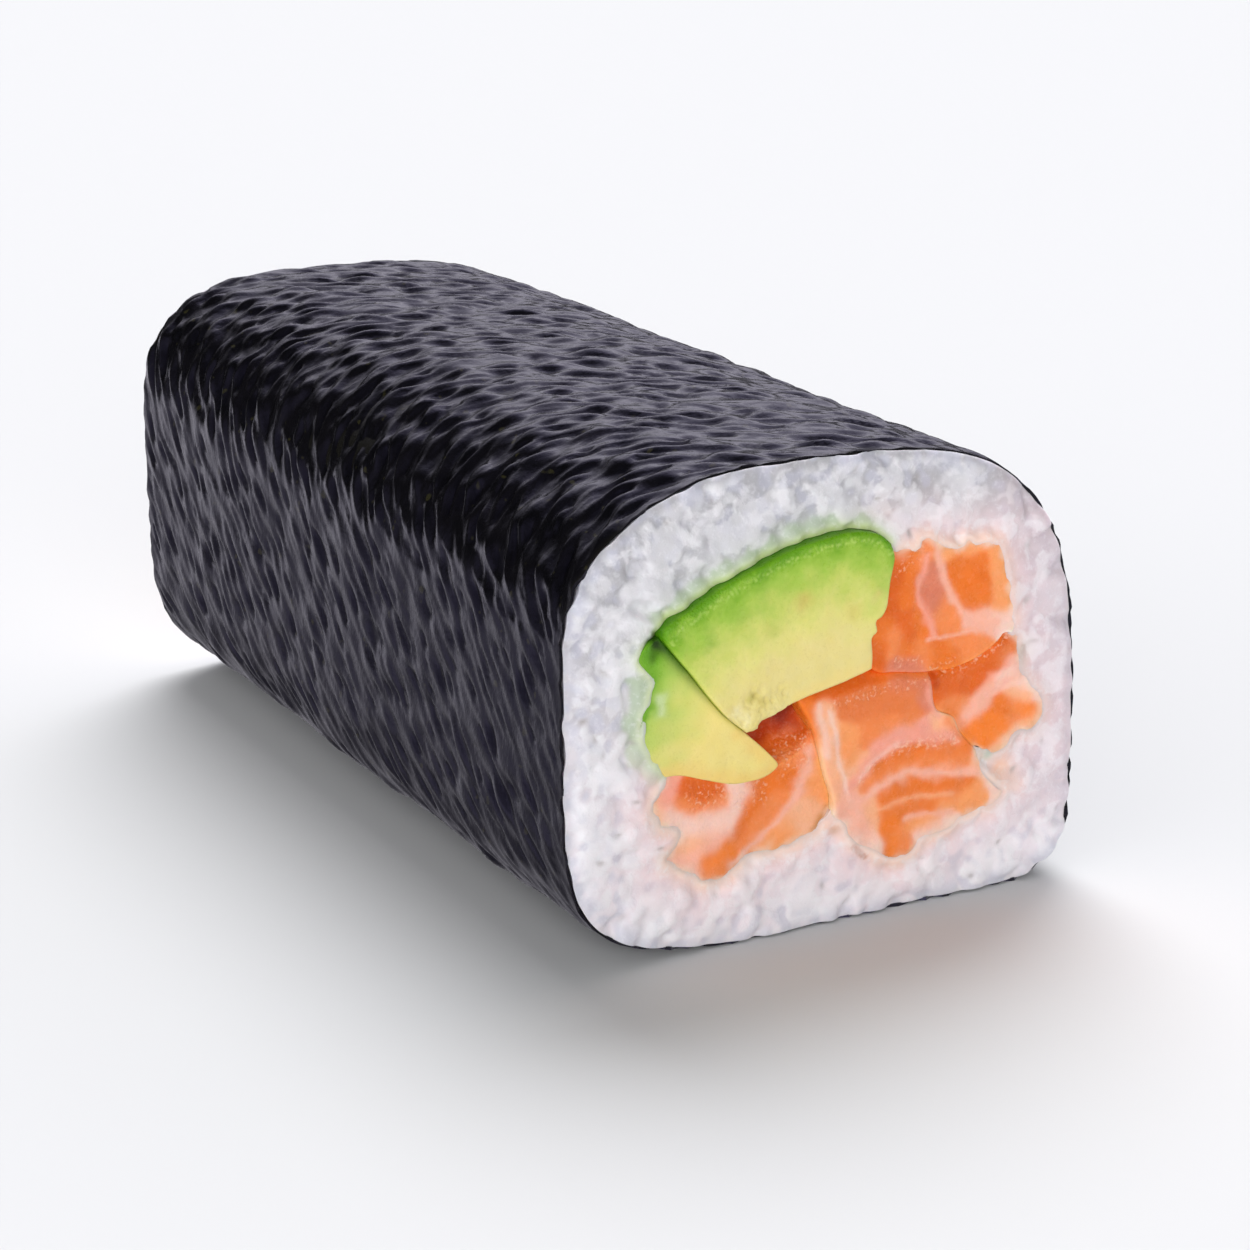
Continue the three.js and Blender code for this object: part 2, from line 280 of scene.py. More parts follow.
def triangulate(points, loops):
    """Counterclockwise triangles over points whose first ones are the closed loops, given as lengths."""
    edges, start = [], 0
    for count in loops:
        edges += [(start + k, start + (k + 1) % count) for k in range(count)]
        start += count
    made = delaunay_2d_cdt([Vector(p) for p in points.tolist()], edges, [], 1, 1e-7, False)
    if len(made[0]) != len(points):
        raise ValueError("an outline crosses itself")
    triangles = np.array([f for f in made[2] if len(f) == 3])
    middle = points[triangles].mean(1)
    keep = inside(middle, points[: loops[0]])
    if len(loops) > 1:
        keep &= ~inside(middle, points[loops[0] : loops[0] + loops[1]])
    triangles = triangles[keep]
    a, b, c = (points[triangles[:, k]] for k in range(3))
    area = (b[:, 0] - a[:, 0]) * (c[:, 1] - a[:, 1]) - (b[:, 1] - a[:, 1]) * (c[:, 0] - a[:, 0])
    triangles[area < 0] = triangles[area < 0][:, ::-1]
    return triangles


def wall(lower, upper, flipped=False):
    """Faces between two rings of vertex numbers that run counterclockwise, seen from -Y.

    Where flipped is true, the faces split along their other diagonal.
    """
    next_lower, next_upper = np.roll(lower, -1), np.roll(upper, -1)
    one = np.stack([lower, upper, np.where(flipped, next_lower, next_upper)], -1)
    two = np.stack([np.where(flipped, upper, lower), next_upper, next_lower], -1)
    return np.vstack([one, two])


def make_mesh(name, points, faces, attributes, material, node, sharp=()):
    """A piece from points in millimetres and lists of faces, which stands for a CAD node.

    Edges between vertices of the sharp rings are sharp.
    """
    points, faces = np.vstack(points), np.vstack(faces)
    mesh = bpy.data.meshes.new(name)
    mesh.vertices.add(len(points))
    mesh.vertices.foreach_set("co", ((points + ORIGIN) * MM).astype(np.float32).ravel())
    mesh.loops.add(faces.size)
    mesh.loops.foreach_set("vertex_index", faces.astype(np.int32).ravel())
    mesh.polygons.add(len(faces))
    mesh.polygons.foreach_set("loop_start", np.arange(0, faces.size, 3, dtype=np.int32))
    mesh.polygons.foreach_set("use_smooth", np.ones(len(faces), bool))
    mesh.update(calc_edges=True)
    if len(sharp):
        pairs = np.empty(2 * len(mesh.edges), np.int32)
        mesh.edges.foreach_get("vertices", pairs)
        crease = mesh.attributes.new("sharp_edge", "BOOLEAN", "EDGE")
        crease.data.foreach_set("value", np.isin(pairs, np.concatenate(sharp)).reshape(-1, 2).all(1))
    for key, values in attributes.items():
        values = np.concatenate(values)
        if values.ndim == 2:
            values = np.concatenate([values, np.ones((len(values), 1))], 1)
        kind, field = ("FLOAT_COLOR", "color") if values.ndim == 2 else ("FLOAT", "value")
        layer = mesh.attributes.new(key, kind, "POINT")
        layer.data.foreach_set(field, values.astype(np.float32).ravel())
    mesh.materials.append(material)
    piece = bpy.data.objects.new(name, mesh)
    bpy.context.scene.collection.objects.link(piece)
    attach(piece, "root")
    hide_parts(node)


# ---------------------------------------------------------------- materials


class Nodes:
    """Short ways to add and join the nodes of a tree."""

    def __init__(self, tree):
        self.tree = tree

    def put(self, socket, value):
        if isinstance(value, bpy.types.NodeSocket):
            self.tree.links.new(value, socket)
        elif value is not None:
            socket.default_value = value

    def add(self, kind, output, inputs, **settings):
        """Adds a node with its settings and inputs, and gives one of its outputs."""
        node = self.tree.nodes.new("ShaderNode" + kind)
        for key, value in settings.items():
            setattr(node, key, value)
        for key, value in inputs.items():
            self.put(node.inputs[key], value)
        return node.outputs[output]

    def math(self, operation, a, b):
        return self.add("Math", 0, {0: a, 1: b}, operation=operation)

    def remap(self, value, low, high, to_low=0.0, to_high=1.0, shape="LINEAR"):
        limits = {"Value": value, "From Min": low, "From Max": high, "To Min": to_low, "To Max": to_high}
        return self.add("MapRange", 0, limits, interpolation_type=shape)

    def mix(self, share, a, b, blend="MIX"):
        return self.add("Mix", 2, {0: share, 6: a, 7: b}, data_type="RGBA", blend_type=blend)


class Shader(Nodes):
    """A material with one Principled shader, whose sockets are set by name."""

    def __init__(self, name):
        self.material = bpy.data.materials.new(name)
        self.material.use_nodes = True
        super().__init__(self.material.node_tree)
        self.tree.nodes.clear()
        self.surface = self.tree.nodes.new("ShaderNodeBsdfPrincipled")
        output = self.tree.nodes.new("ShaderNodeOutputMaterial")
        self.put(output.inputs["Surface"], self.surface.outputs["BSDF"])
        self.place = self.add("TexCoord", "Object", {})

    def set(self, **values):
        for key, value in values.items():
            self.put(self.surface.inputs[key.replace("_", " ")], value)

    def attribute(self, name, output="Fac"):
        return self.add("Attribute", output, {}, attribute_name=name)

    def noise(self, size, detail, roughness=0.5, stretch=(1, 1, 1), distortion=0.0):
        """Noise whose features are about size millimetres across."""
        scale = [s / (size * MM) for s in stretch]
        place = self.add("Mapping", 0, {"Scale": scale, "Vector": self.place})
        grain = {"Scale": 1.0, "Detail": detail, "Roughness": roughness, "Distortion": distortion}
        return self.add("TexNoise", "Fac", {**grain, "Vector": place})

    def bump(self, height, depth, normal=None, strength=1.0):
        """Relief in the shading alone, with its full depth in millimetres."""
        relief = {"Distance": depth * MM, "Strength": strength, "Height": height, "Normal": normal}
        return self.add("Bump", 0, relief)

    def flesh(self, weight, radius, scale):
        """Lets light pass through, for a scale in millimetres."""
        self.set(Subsurface_Weight=weight, Subsurface_Radius=radius, Subsurface_Scale=scale * MM)


def rgba(*rgb):
    return (*linear(rgb), 1.0)


def nori_material():
    s = Shader("nori_sheet")
    fine = s.noise(0.45, 3, 0.6, stretch=(0.8, 1, 0.6))
    coarse = s.noise(3.0, 2)
    speck = s.remap(s.noise(1.1, 1), 0.71, 0.76)
    pit = s.attribute("pit")
    base = s.mix(s.remap(coarse, 0.3, 0.7), rgba(6, 6, 7), rgba(12, 11, 13))
    # The pits are painted near black: painted shade in the hollows of the crinkles.
    base = s.mix(pit, base, rgba(2, 2, 2))
    base = s.mix(s.math("MULTIPLY", speck, 0.5), base, rgba(52, 50, 26))
    base = s.mix(s.math("MULTIPLY", s.attribute("edge"), 0.35), base, rgba(34, 33, 24))
    rough = s.math("ADD", s.remap(fine, 0.3, 0.7, 0.18, 0.28), s.math("MULTIPLY", pit, 0.25))
    s.set(Base_Color=base, Roughness=rough, Normal=s.bump(fine, 0.04))
    s.set(Specular_Tint=(0.57, 0.52, 1.0, 1.0), IOR=1.35)
    return s.material


def rice_material():
    s = Shader("cooked_rice")
    fine = s.noise(0.45, 3, 0.6)
    mottle = s.remap(s.noise(1.8, 2), 0.4, 0.65, 0.0, 0.2)
    flake = s.remap(s.noise(3.0, 4, distortion=0.3), 0.49, 0.56)
    flake = s.math("MULTIPLY", flake, s.attribute("flake"))
    colour = s.mix(mottle, s.attribute("paint", "Color"), rgba(203, 201, 211))
    colour = s.mix(s.math("MULTIPLY", flake, 0.4), colour, rgba(244, 242, 245))
    colour = s.mix(s.remap(fine, 0.54, 0.68, 0.0, 0.2), colour, rgba(250, 249, 252))
    normal = s.bump(flake, 0.03, s.bump(fine, 0.035))
    s.set(Base_Color=colour, Roughness=s.remap(fine, 0.3, 0.7, 0.26, 0.42), Normal=normal, IOR=1.4)
    s.flesh(0.5, (1.0, 0.85, 0.9), 0.8)
    return s.material


def avocado_material():
    s = Shader("avocado_flesh")
    fine = s.noise(0.35, 3, 0.6)
    mottle = s.remap(s.noise(1.4, 3, 0.55), 0.35, 0.7, 0.0, 0.22)
    colour = s.mix(mottle, s.attribute("paint", "Color"), rgba(252, 244, 190), "MULTIPLY")
    normal = s.bump(s.noise(0.2, 1), 0.12, s.bump(fine, 0.04), s.attribute("glint"))
    s.set(Base_Color=colour, Roughness=s.remap(fine, 0.3, 0.7, 0.24, 0.40), Normal=normal)
    s.set(Specular_Tint=(0.9, 1.0, 0.6, 1.0), IOR=1.42)
    s.flesh(0.35, (0.9, 0.9, 0.35), 0.9)
    return s.material


def salmon_material():
    s = Shader("raw_salmon")
    fine = s.noise(0.3, 3, 0.6)
    mottle = s.noise(0.9, 3, 0.6)
    glint = s.attribute("glint")
    grain = s.remap(mottle, 0.3, 0.75, 0.0, 0.1)
    colour = s.mix(grain, s.attribute("paint", "Color"), rgba(255, 215, 180), "MULTIPLY")
    # Pale specks where the strip glints are a painted highlight of the moist flesh, with a stronger bump
    # there.
    painted_glint = s.math("MULTIPLY", s.remap(s.noise(0.34, 1), 0.55, 0.7), glint)
    colour = s.mix(s.math("MULTIPLY", painted_glint, 0.5), colour, rgba(255, 206, 178))
    normal = s.bump(s.noise(0.3, 2), 0.12, s.bump(fine, 0.035), glint)
    s.set(Base_Color=colour, Roughness=s.remap(mottle, 0.3, 0.7, 0.22, 0.34), Normal=normal)
    s.set(Specular_Tint=(1.0, 0.8, 0.62, 1.0), IOR=1.38)
    s.flesh(0.45, (1.0, 0.45, 0.25), 1.0)
    return s.material


# ---------------------------------------------------------------- nori

NORI_COLUMNS = 290
NORI_ROWS = 300
NORI_INNER_ROWS = 8
PERIMETER = 146.0
SHEET = 0.36  # how thick the sheet is
TRIM = 0.3  # how far the sheet ends short of the cut
RAGGED = 0.12  # how far its edge wanders from there
EDGE_ZONE = 2.5  # how far from a cut its edge is felt
RIPPLES = (  # wave length along the roll, wave length round it, and height
    (3.6, 5.4, 0.06),
    (1.9, 4.2, 0.042),
    (1.1, 2.8, 0.015),
)
PIT_DEPTH = 0.13
DEEPEST, HIGHEST = -0.28, 0.42
# Each of these lists turns round the roll and a value there: how thick the sheet shows at a cut, how far the
# ripples shift along the roll for each millimetre round it, and how high they are against RIPPLES.
SHEET_AT_CUT = (
    (0, 0.24), (0.25, 0.16), (0.33, 0.18), (0.38, 0.34), (0.5, 0.4), (0.65, 0.34), (0.78, 0.24), (0.86, 0.3),
    (0.92, 0.24), (1, 0.24),
)
LEANS = (
    (0, 1), (0.05, 0.9), (0.11, 0.4), (0.17, -0.1), (0.24, -0.5), (0.38, -0.4), (0.46, 0), (0.6, 0.1),
    (0.78, 0.1), (0.86, 0.7), (0.93, 1), (1, 1),
)
HEIGHTS = (
    (0, 1.1), (0.05, 1.6), (0.09, 2.9), (0.15, 2.9), (0.2, 2), (0.3, 1.7), (0.45, 1.5), (0.6, 1), (1, 1.1)
)


def nori_relief(turns):
    """Crinkles of the sheet, and how much of a pit each place is, as grids of columns by rows."""
    random = np.random.default_rng(11)
    fr = np.fft.fftfreq(NORI_COLUMNS, PERIMETER / NORI_COLUMNS)[:, None]
    fy = np.fft.fftfreq(NORI_ROWS + 1, ROLL_LENGTH / NORI_ROWS)[None, :]
    # The ripples lean back on the left side and forwards on the top.
    lean = at_turn(LEANS, turns)
    shift = np.cumsum(lean - lean.mean()) * PERIMETER / NORI_COLUMNS
    phase = np.exp(-2j * math.pi * fy * shift[:, None])
    fields = []
    for wave, long_wave, _ in RIPPLES:
        spectrum = np.fft.fft2(random.standard_normal((NORI_COLUMNS, NORI_ROWS + 1)))
        ring = np.hypot(fy * wave, fr * long_wave)
        part = np.fft.ifft2(spectrum * np.exp(-(((ring - 1) / 0.5) ** 2))).real
        part = np.fft.ifft(np.fft.fft(part, axis=1) * phase, axis=1).real
        fields.append(part / part.std())
    # The shortest ripples fade where the lean is too steep for the mesh to carry them.
    fields[-1] *= np.exp(-((lean / 1.1) ** 2))[:, None]
    pits = smoothstep(0.7, 1.9, -(fields[1] + 0.5 * fields[2]) / 1.12)
    relief = sum(height * field for (_, _, height), field in zip(RIPPLES, fields)) - PIT_DEPTH * pits
    relief = relief * at_turn(HEIGHTS, turns)[:, None]
    return np.clip(relief, DEEPEST, HIGHEST), pits


def make_nori():
    turns = even_turns(NORI_COLUMNS)
    columns, rows = np.meshgrid(turns, np.linspace(*ends, NORI_ROWS + 1), indexing="ij")
    to_cut = np.minimum(rows - ends[0], ends[1] - rows)
    relief, pits = nori_relief(turns)
    calm = 0.35 + 0.65 * smoothstep(0, EDGE_ZONE, to_cut)
    outer = roll_surface(columns, rows, -relief * calm)
    random = np.random.default_rng(5)
    freq = np.fft.fftfreq(NORI_COLUMNS, 150.0 / NORI_COLUMNS)
    for end, outwards in zip(ends, OUTWARDS):
        spectrum = np.fft.fft(random.standard_normal(NORI_COLUMNS))
        wave = np.fft.ifft(spectrum * np.exp(-((np.abs(freq) * 3 - 1) ** 2))).real
        ragged = RAGGED * wave / wave.std() - TRIM
        outer[..., 1] += outwards * smoothstep(EDGE_ZONE, 0, np.abs(rows - end)) * ragged[:, None]
    between_ends = np.linspace(ends[0] + 1, ends[1] - 1, NORI_INNER_ROWS - 2)
    inner_ys = np.concatenate([ends[:1], between_ends, ends[1:]])
    sheet = np.full((NORI_COLUMNS, NORI_INNER_ROWS), SHEET)
    sheet[:, [0, -1]] = at_turn(SHEET_AT_CUT, turns)[:, None]
    inner = roll_surface(*np.meshgrid(turns, inner_ys, indexing="ij"), sheet)
    inner[:, [0, -1], 1] = outer[:, [0, -1], 1] + [0.05, -0.05]
    # The turns run clockwise seen from -Y, so the rings are read the other way round.
    rings = [
        np.arange(NORI_COLUMNS)[::-1] + row * NORI_COLUMNS for row in range(NORI_ROWS + 1 + NORI_INNER_ROWS)
    ]
    outside, within = rings[: NORI_ROWS + 1], rings[NORI_ROWS + 1 :]
    # Each face splits along the ripples, so that they stay smooth.
    leaning = at_turn(LEANS, turns)[::-1] > 0.1
    faces = [wall(a, b, leaning) for a, b in zip(outside, outside[1:])]
    faces += [wall(a, b)[:, ::-1] for a, b in zip(within, within[1:])]
    faces += [wall(within[0], outside[0]), wall(outside[-1], within[-1])]
    hidden = np.zeros(inner[..., 0].size)
    attributes = {
        "edge": [smoothstep(0.5, 0.0, to_cut).T.ravel(), hidden + 1],
        "pit": [(pits * calm).T.ravel(), hidden],
    }
    points = [part.transpose(1, 0, 2).reshape(-1, 3) for part in (outer, inner)]
    sharp = [outside[0], outside[-1], within[0], within[-1]]
    make_mesh("nori_sheet", points, faces, attributes, nori_material(), "nori", sharp)


# ---------------------------------------------------------------- fillings: outlines

CORNERS = {
    "crevice": (-16.3, 27.7), "wedgeTip": (-8.6, 18.7), "underAvocado": (-3.6, 20.7),
    "avocadoHeel": (3.3, 22.2), "avocadoCrown": (4.8, 32.7), "salmonHub": (9.3, 20.8),
    "rightCorner": (17.8, 22.9), "lowerRight": (14.4, 13.1), "salmonCleft": (0.1, 9.8),
    "leftCorner": (-15.8, 16),
}
# The borders between pieces on the front cut. Each runs from corner to corner through points written as x,z.
BORDERS = {
    "wedges": "crevice -15.3,26.4 -13.6,24.3 -12.1,22.3 -10.5,20.4 wedgeTip",
    "wedgeOnSalmon": """
        wedgeTip -6.7,16.9 -5.4,15.5 -5.3,15 -6.2,14.4 -7.7,14.2 -9.7,14.3 -12.2,15.1 -14.2,15.8 leftCorner
    """,
    "avocadoOverLeft": "wedgeTip -7.7,18.9 -7.3,19.4 -5.6,20 underAvocado",
    "avocadoOverCentre": "underAvocado -1.7,21.1 1.3,21.7 avocadoHeel",
    "avocadoBesideTop": """
        avocadoHeel 3.3,23.4 3.1,24.9 3.6,25.4 3.5,26.3 4.1,26.6 4.6,27.4 4.8,28.9 5.2,30.8 5.2,31.7
        avocadoCrown
    """,
    "centreBesideLeft": "underAvocado -2.6,18.9 -1.8,17.4 -1.2,15.4 -0.7,13.4 0,11.4 salmonCleft",
    "centreUnderTop": "avocadoHeel 4.3,21.6 6,21.3 8,20.9 salmonHub",
    "centreBesideRight": "salmonHub 9.7,19.2 10.2,17.4 11.9,16.4 12.7,14.9 lowerRight",
    "rightUnderTop": "salmonHub 11.9,20.7 14.4,21.4 16.2,22.4 16.9,23 rightCorner",
    "avocadoRim": """
        crevice -16,28.8 -13.7,29.9 -10.7,31.4 -8.2,32.3 -4.7,33.4 -1.7,34 1,34.2 3.5,33.7 avocadoCrown
    """,
    "topRim": """
        avocadoCrown 6.3,32 7.7,31.9 8.1,32.5 8.9,32.6 9.7,32.1 10.9,31.5 12.4,31.4 12.9,31.8 13.9,31.6
        15.4,31.5 16.3,31.1 16.6,30.3 17.1,28.9 17.6,26.9 18,25 18.2,23.6 rightCorner
    """,
    "rightRim": """
        rightCorner 18.4,22.4 18.7,20.5 20,18.2 21.2,17 21.5,15.5 21,13.9 20.2,13.4 19,13.7 18,12.9
        16.7,12.3 15.4,12.3 lowerRight
    """,
    "centreRim": """
        lowerRight 14.7,12.3 15.3,11 16.3,9.9 17.3,9.3 17.3,8.4 16.1,7.6 13.5,7.1 11.8,6.3 9.5,5.9 8,4.9
        6.5,4.4 5,4.9 4,5.8 2.5,6.6 1.5,7.6 1.3,8.5 0.6,9.2 salmonCleft
    """,
    "leftRim": """
        salmonCleft -0.3,8.9 -1.3,8.3 -2.8,7.9 -4.8,7.4 -6.8,7.4 -8.8,6.7 -9.8,6.1 -11.3,5.9 -12.3,6.1
        -13,6.8 -14.3,7.5 -15.5,8.2 -15.8,8.9 -15,9.3 -14.4,9.9 -14.6,10.9 -15.3,11.3 -16.1,11.6 -16.7,12.6
        -16.8,13.7 -16.3,14.6 -15.9,15.1 leftCorner
    """,
    "wedgeRim": """
        leftCorner -16.7,17.1 -17.5,18.3 -18.1,19.9 -18,21.4 -17.5,22.7 -17.1,24.1 -17.6,24.9 -18.4,26.2
        -17.5,27.2 crevice
    """,
}
OUTLINE_STEP = 0.25
RIM_PIECES = {  # the borders that meet the rice, and the pieces inside them
    "avocadoRim": "avocado_large",
    "topRim": "salmon_top_right",
    "rightRim": "salmon_right",
    "centreRim": "salmon_center",
    "leftRim": "salmon_left",
    "wedgeRim": "avocado_small",
}
SALMON_RIMS = ("topRim", "rightRim", "centreRim", "leftRim")
# The crevice is sunk into the cuts and painted dark: painted shade in the gap.
CREVICE = (-16.5, 27.1)  # the dark gap where both wedges and the rice meet


def points_of(text):
    """Points written as x,z or as the name of a corner."""
    return [CORNERS.get(word) or tuple(map(float, word.split(","))) for word in text.split()]


def strokes_of(text):
    """Each stroke of a text with bars between them: its words, and then the points of its line."""
    for part in text.split("|"):
        words, line = part.split(":")
        yield *words.split(), points_of(line)


def border(name):
    return curve_through(points_of(BORDERS[name]), OUTLINE_STEP)


def to_borders(points, names):
    """Shortest distance from each point to any of the borders."""
    return np.min([distance_to_line(points, border(name)) for name in names], 0)


def outline_from(names):
    """Borders chained end to end into one closed counterclockwise outline."""
    lines = [border(name) for name in names]
    meets = lambda a, b: np.linalg.norm(a - b) < 1e-6
    chain = lines[0]
    if not (meets(chain[-1], lines[1][0]) or meets(chain[-1], lines[1][-1])):
        chain = chain[::-1]
    for line in lines[1:]:
        onwards = line if meets(chain[-1], line[0]) else line[::-1]
        chain = np.vstack([chain, onwards[1:]])
    chain = chain[:-1]
    x, z = chain[:, 0], chain[:, 1]
    turning = (x * np.roll(z, -1) - np.roll(x, -1) * z).sum()
    return chain if turning > 0 else chain[::-1]


# ---------------------------------------------------------------- fillings: forms

HALF_GAP = 0.004  # half the room between two fillings
CAP_RINGS = (0.05, 0.15, 0.3)  # how far inside its outline a cut's rings of points lie
CAP_STEP = 0.22
SIDE_SHARES = (0.006, 0.02, 0.1, 0.3, 0.5, 0.7, 0.9, 0.98, 0.994)  # where a strip's sides have rings
SEEN_SHIFT = np.array([-0.55, 0.36])  # a mark moves by this for each millimetre its face stands proud
# Each strip: its borders, how far it stands out of the front and back cuts, and the width and drop of the
# rounding at its edge.
STRIPS = {
    "avocado_large": (
        "avocadoRim avocadoBesideTop avocadoOverCentre avocadoOverLeft wedges", (1.2, 0.7), (0.25, 0.2)
    ),
    "avocado_small": ("wedges wedgeOnSalmon wedgeRim", (0.4, 1.0), (0.14, 0.08)),
    "salmon_top_right": ("topRim rightUnderTop centreUnderTop avocadoBesideTop", (0.3, 0.5), (0.1, 0.05)),
    "salmon_right": ("rightRim centreBesideRight rightUnderTop", (0.2, 0.9), (0.1, 0)),
    "salmon_center": (
        "centreRim centreBesideLeft avocadoOverCentre centreUnderTop centreBesideRight",
        (0.5, 0.4),
        (0.3, 0.15),
    ),
    "salmon_left": ("leftRim wedgeOnSalmon avocadoOverLeft centreBesideLeft", (-0.1, 0.6), (0.1, 0)),
}

GRIT = Noise(36, 1.1)
SCALLOP = Noise(37, 2.2)
CLOUD = Noise(38, 1.9)
CLUMP = Noise(39, 6.5, 0.6)
WARP = (Noise(21, 2.2), Noise(22, 2.2))
FINE_WARP = (Noise(23, 0.8), Noise(24, 0.8))
SOFT_RELIEF = Noise(31, 7)
MID_RELIEF = Noise(32, 2.5)
FINE_RELIEF = Noise(33, 0.9)
MOTTLE = Noise(34, 3)
SPECK = Noise(35, 0.7)


def cap(outline):
    """Points over a filling's cut, its outline first, and the triangles between them."""
    rings = [inset(outline, step) for step in CAP_RINGS]
    grid = lattice(outline.min(0), outline.max(0), CAP_STEP)
    grid = grid[inside(grid, rings[-1])]
    grid = grid[distance_to_line(grid, outline, True) > CAP_RINGS[-1] + 0.12]
    clear = [
        ring[(distance_to_line(ring, outline, True) > step * 0.8) & inside(ring, outline)]
        for step, ring in zip(CAP_RINGS, rings)
    ]
    points = np.vstack([outline, *clear, grid])
    # Points that fall together would be merged, so near doubles are left out.
    _, first = np.unique(np.round(points / 0.02).astype(int), axis=0, return_index=True)
    first = np.sort(first)
    points = points[np.concatenate([np.arange(len(outline)), first[first >= len(outline)]])]
    return points, triangulate(points, [len(outline)])


def nearer_cut(share):
    """The cut that is nearer to a place, given as its share of the way from front to back."""
    return FRONT if share < 0.5 else BACK


def make_filling(name, material):
    borders, stands, (width, drop) = STRIPS[name]
    outline = inset(outline_from(borders.split()), HALF_GAP)
    points, triangles = cap(outline)
    count = len(outline)
    to_edge = distance_to_line(points, outline, True)
    rounded = drop * (1 - to_edge / width).clip(0) ** 2
    caps, paints, glints = [], [], []
    for side in (FRONT, BACK):
        height = stands[side] + relief_of(name, points, side) - rounded
        caps.append(drift(points, OUTWARDS[side] * (ROLL_LENGTH / 2 + height)))
        paint, glint = paint_of(name, points, side, to_edge)
        paints.append(paint)
        glints.append(glint)
    front_y, back_y = (part[:count, 1] for part in caps)
    tone = side_tone(name, outline)
    sides = [drift(outline, front_y * (1 - share) + back_y * share) for share in SIDE_SHARES]
    side_paints = [np.clip(paints[nearer_cut(share)][:count] * tone, 0, 1) for share in SIDE_SHARES]
    starts = [0, *(len(points) + count * k for k in range(len(sides) + 1))]
    rings = [np.arange(count) + start for start in starts]
    faces = [triangles, triangles[:, ::-1] + starts[-1], *map(wall, rings, rings[1:])]
    attributes = {
        "paint": [paints[FRONT], *side_paints, paints[BACK]],
        "glint": [glints[FRONT], np.zeros(count * len(sides)), glints[BACK]],
    }
    make_mesh(name + "_strip", [caps[FRONT], *sides, caps[BACK]], faces, attributes, material, name)


def ramp(value, *stops):
    """A colour between stops, which are given as a place and a colour."""
    at, colours = zip(*stops)
    channels = np.array([linear(rgb) for rgb in colours]).T
    return np.stack([np.interp(value, at, channel) for channel in channels], -1)


def stroke(points, line, width, soft):
    """How much of a painted line covers each point, fading over the soft distance beyond its width."""
    return 1 - smoothstep(width / 2, width / 2 + soft, distance_to_line(points, line))


def mixed(a, b, share):
    return a * (1 - share[:, None]) + b * share[:, None]


def layered(colour, *layers):
    """A colour under layers, each given as its own colour and how much of it covers each point."""
    for rgb, share in layers:
        colour = mixed(colour, linear(rgb), share)
    return colour


def warped(points, side, amount=0.07):
    """The points moved a little at random, so that painted lines waver. The back cut wavers more."""
    apart = points + side * np.array([31.0, 17.0])
    move = np.stack([n(apart) for n in WARP], -1) * amount * (3 if side else 1)
    return points + move + np.stack([n(apart) for n in FINE_WARP], -1) * amount * 0.25


def spot_at(points, at, size):
    """A soft round spot: 1 at its middle and a third at its size."""
    return np.exp(-((points - np.array(at)) ** 2).sum(-1) / size**2)


def spots_on(points, spots):
    """Layers of soft round spots, each given as its place, size, colour and share."""
    return [(rgb, share * spot_at(points, at, size)) for at, size, rgb, share in spots]


def in_crevice(points, side, size):
    return spot_at(points, CREVICE, size) * (side == FRONT)


LARGE_WEDGE_SPOTS = (
    ((-3.6, 29.1), 0.9, (196, 160, 90), 0.45),
    ((1.2, 27.4), 0.7, (200, 180, 84), 0.35),
    ((-6.4, 27), 0.7, (176, 190, 76), 0.4),
    ((-12.1, 27), 0.8, (120, 170, 50), 0.4),
    ((-9.1, 28.6), 0.8, (140, 180, 60), 0.4),
    ((-8.1, 21.7), 0.5, (178, 166, 66), 0.5),
    ((-7.4, 21.1), 0.6, (204, 184, 92), 0.4),
    ((-9.6, 20.7), 0.5, (250, 242, 205), 0.6),
    ((-8.9, 19.9), 0.4, (250, 242, 205), 0.6),
    ((3.6, 28.7), 0.7, (222, 190, 140), 0.4),
)
SMALL_WEDGE_SPOTS = [((0.1 * z - 18.5, z), 0.5, (222, 232, 200), 0.5) for z in (21.3, 22, 22.7)]


def large_wedge_relief(points, side):
    crumb = stroke(points, [(-9, 19.5), (-6.5, 21)], 2.6, 1.5)
    height = 0.05 * SOFT_RELIEF(points) + 0.02 * MID_RELIEF(points) + 0.006 * FINE_RELIEF(points)
    return height - 0.14 * crumb * np.abs(FINE_RELIEF(points))


def large_wedge_paint(points, side):
    rim = border("avocadoRim")
    spot = warped(points, side, 0.15)
    to_rim = distance_to_line(points, rim)
    colour = ramp(
        distance_to_line(spot, rim) + 0.25 * MOTTLE(points) + 0.16 * SPECK(points),
        (0, (106, 160, 28)), (0.6, (128, 176, 42)), (2.0, (160, 195, 74)), (3.9, (196, 209, 104)),
        (6.5, (225, 219, 134)), (9, (231, 216, 146)),
    )
    skin_side = smoothstep(0.5, 0.1, to_rim - 0.14 * SCALLOP(points))
    # A speckled pale line just inside the rim is a painted highlight along the edge of the cut.
    painted_rim_highlight = np.exp(-(((to_rim - 0.75) / 0.28) ** 2)) * smoothstep(-0.2, 1.2, SPECK(points * 1.6 + 5))
    warm = stroke(spot, border("avocadoOverCentre") + np.array([0, 0.1]), 0.5, 1.2)
    colour = layered(
        colour,
        *spots_on(spot, LARGE_WEDGE_SPOTS),
        ((88, 148, 10), 0.65 * skin_side),
        ((204, 226, 130), 0.5 * painted_rim_highlight),
        ((240, 214, 136), 0.5 * warm),
    )
    return colour, 0.7 * stroke(points, rim, 1.4, 0.6)


def small_wedge_relief(points, side):
    return 0.04 * SOFT_RELIEF(points + 9) + 0.02 * MID_RELIEF(points) - 0.3 * in_crevice(points, side, 0.9)


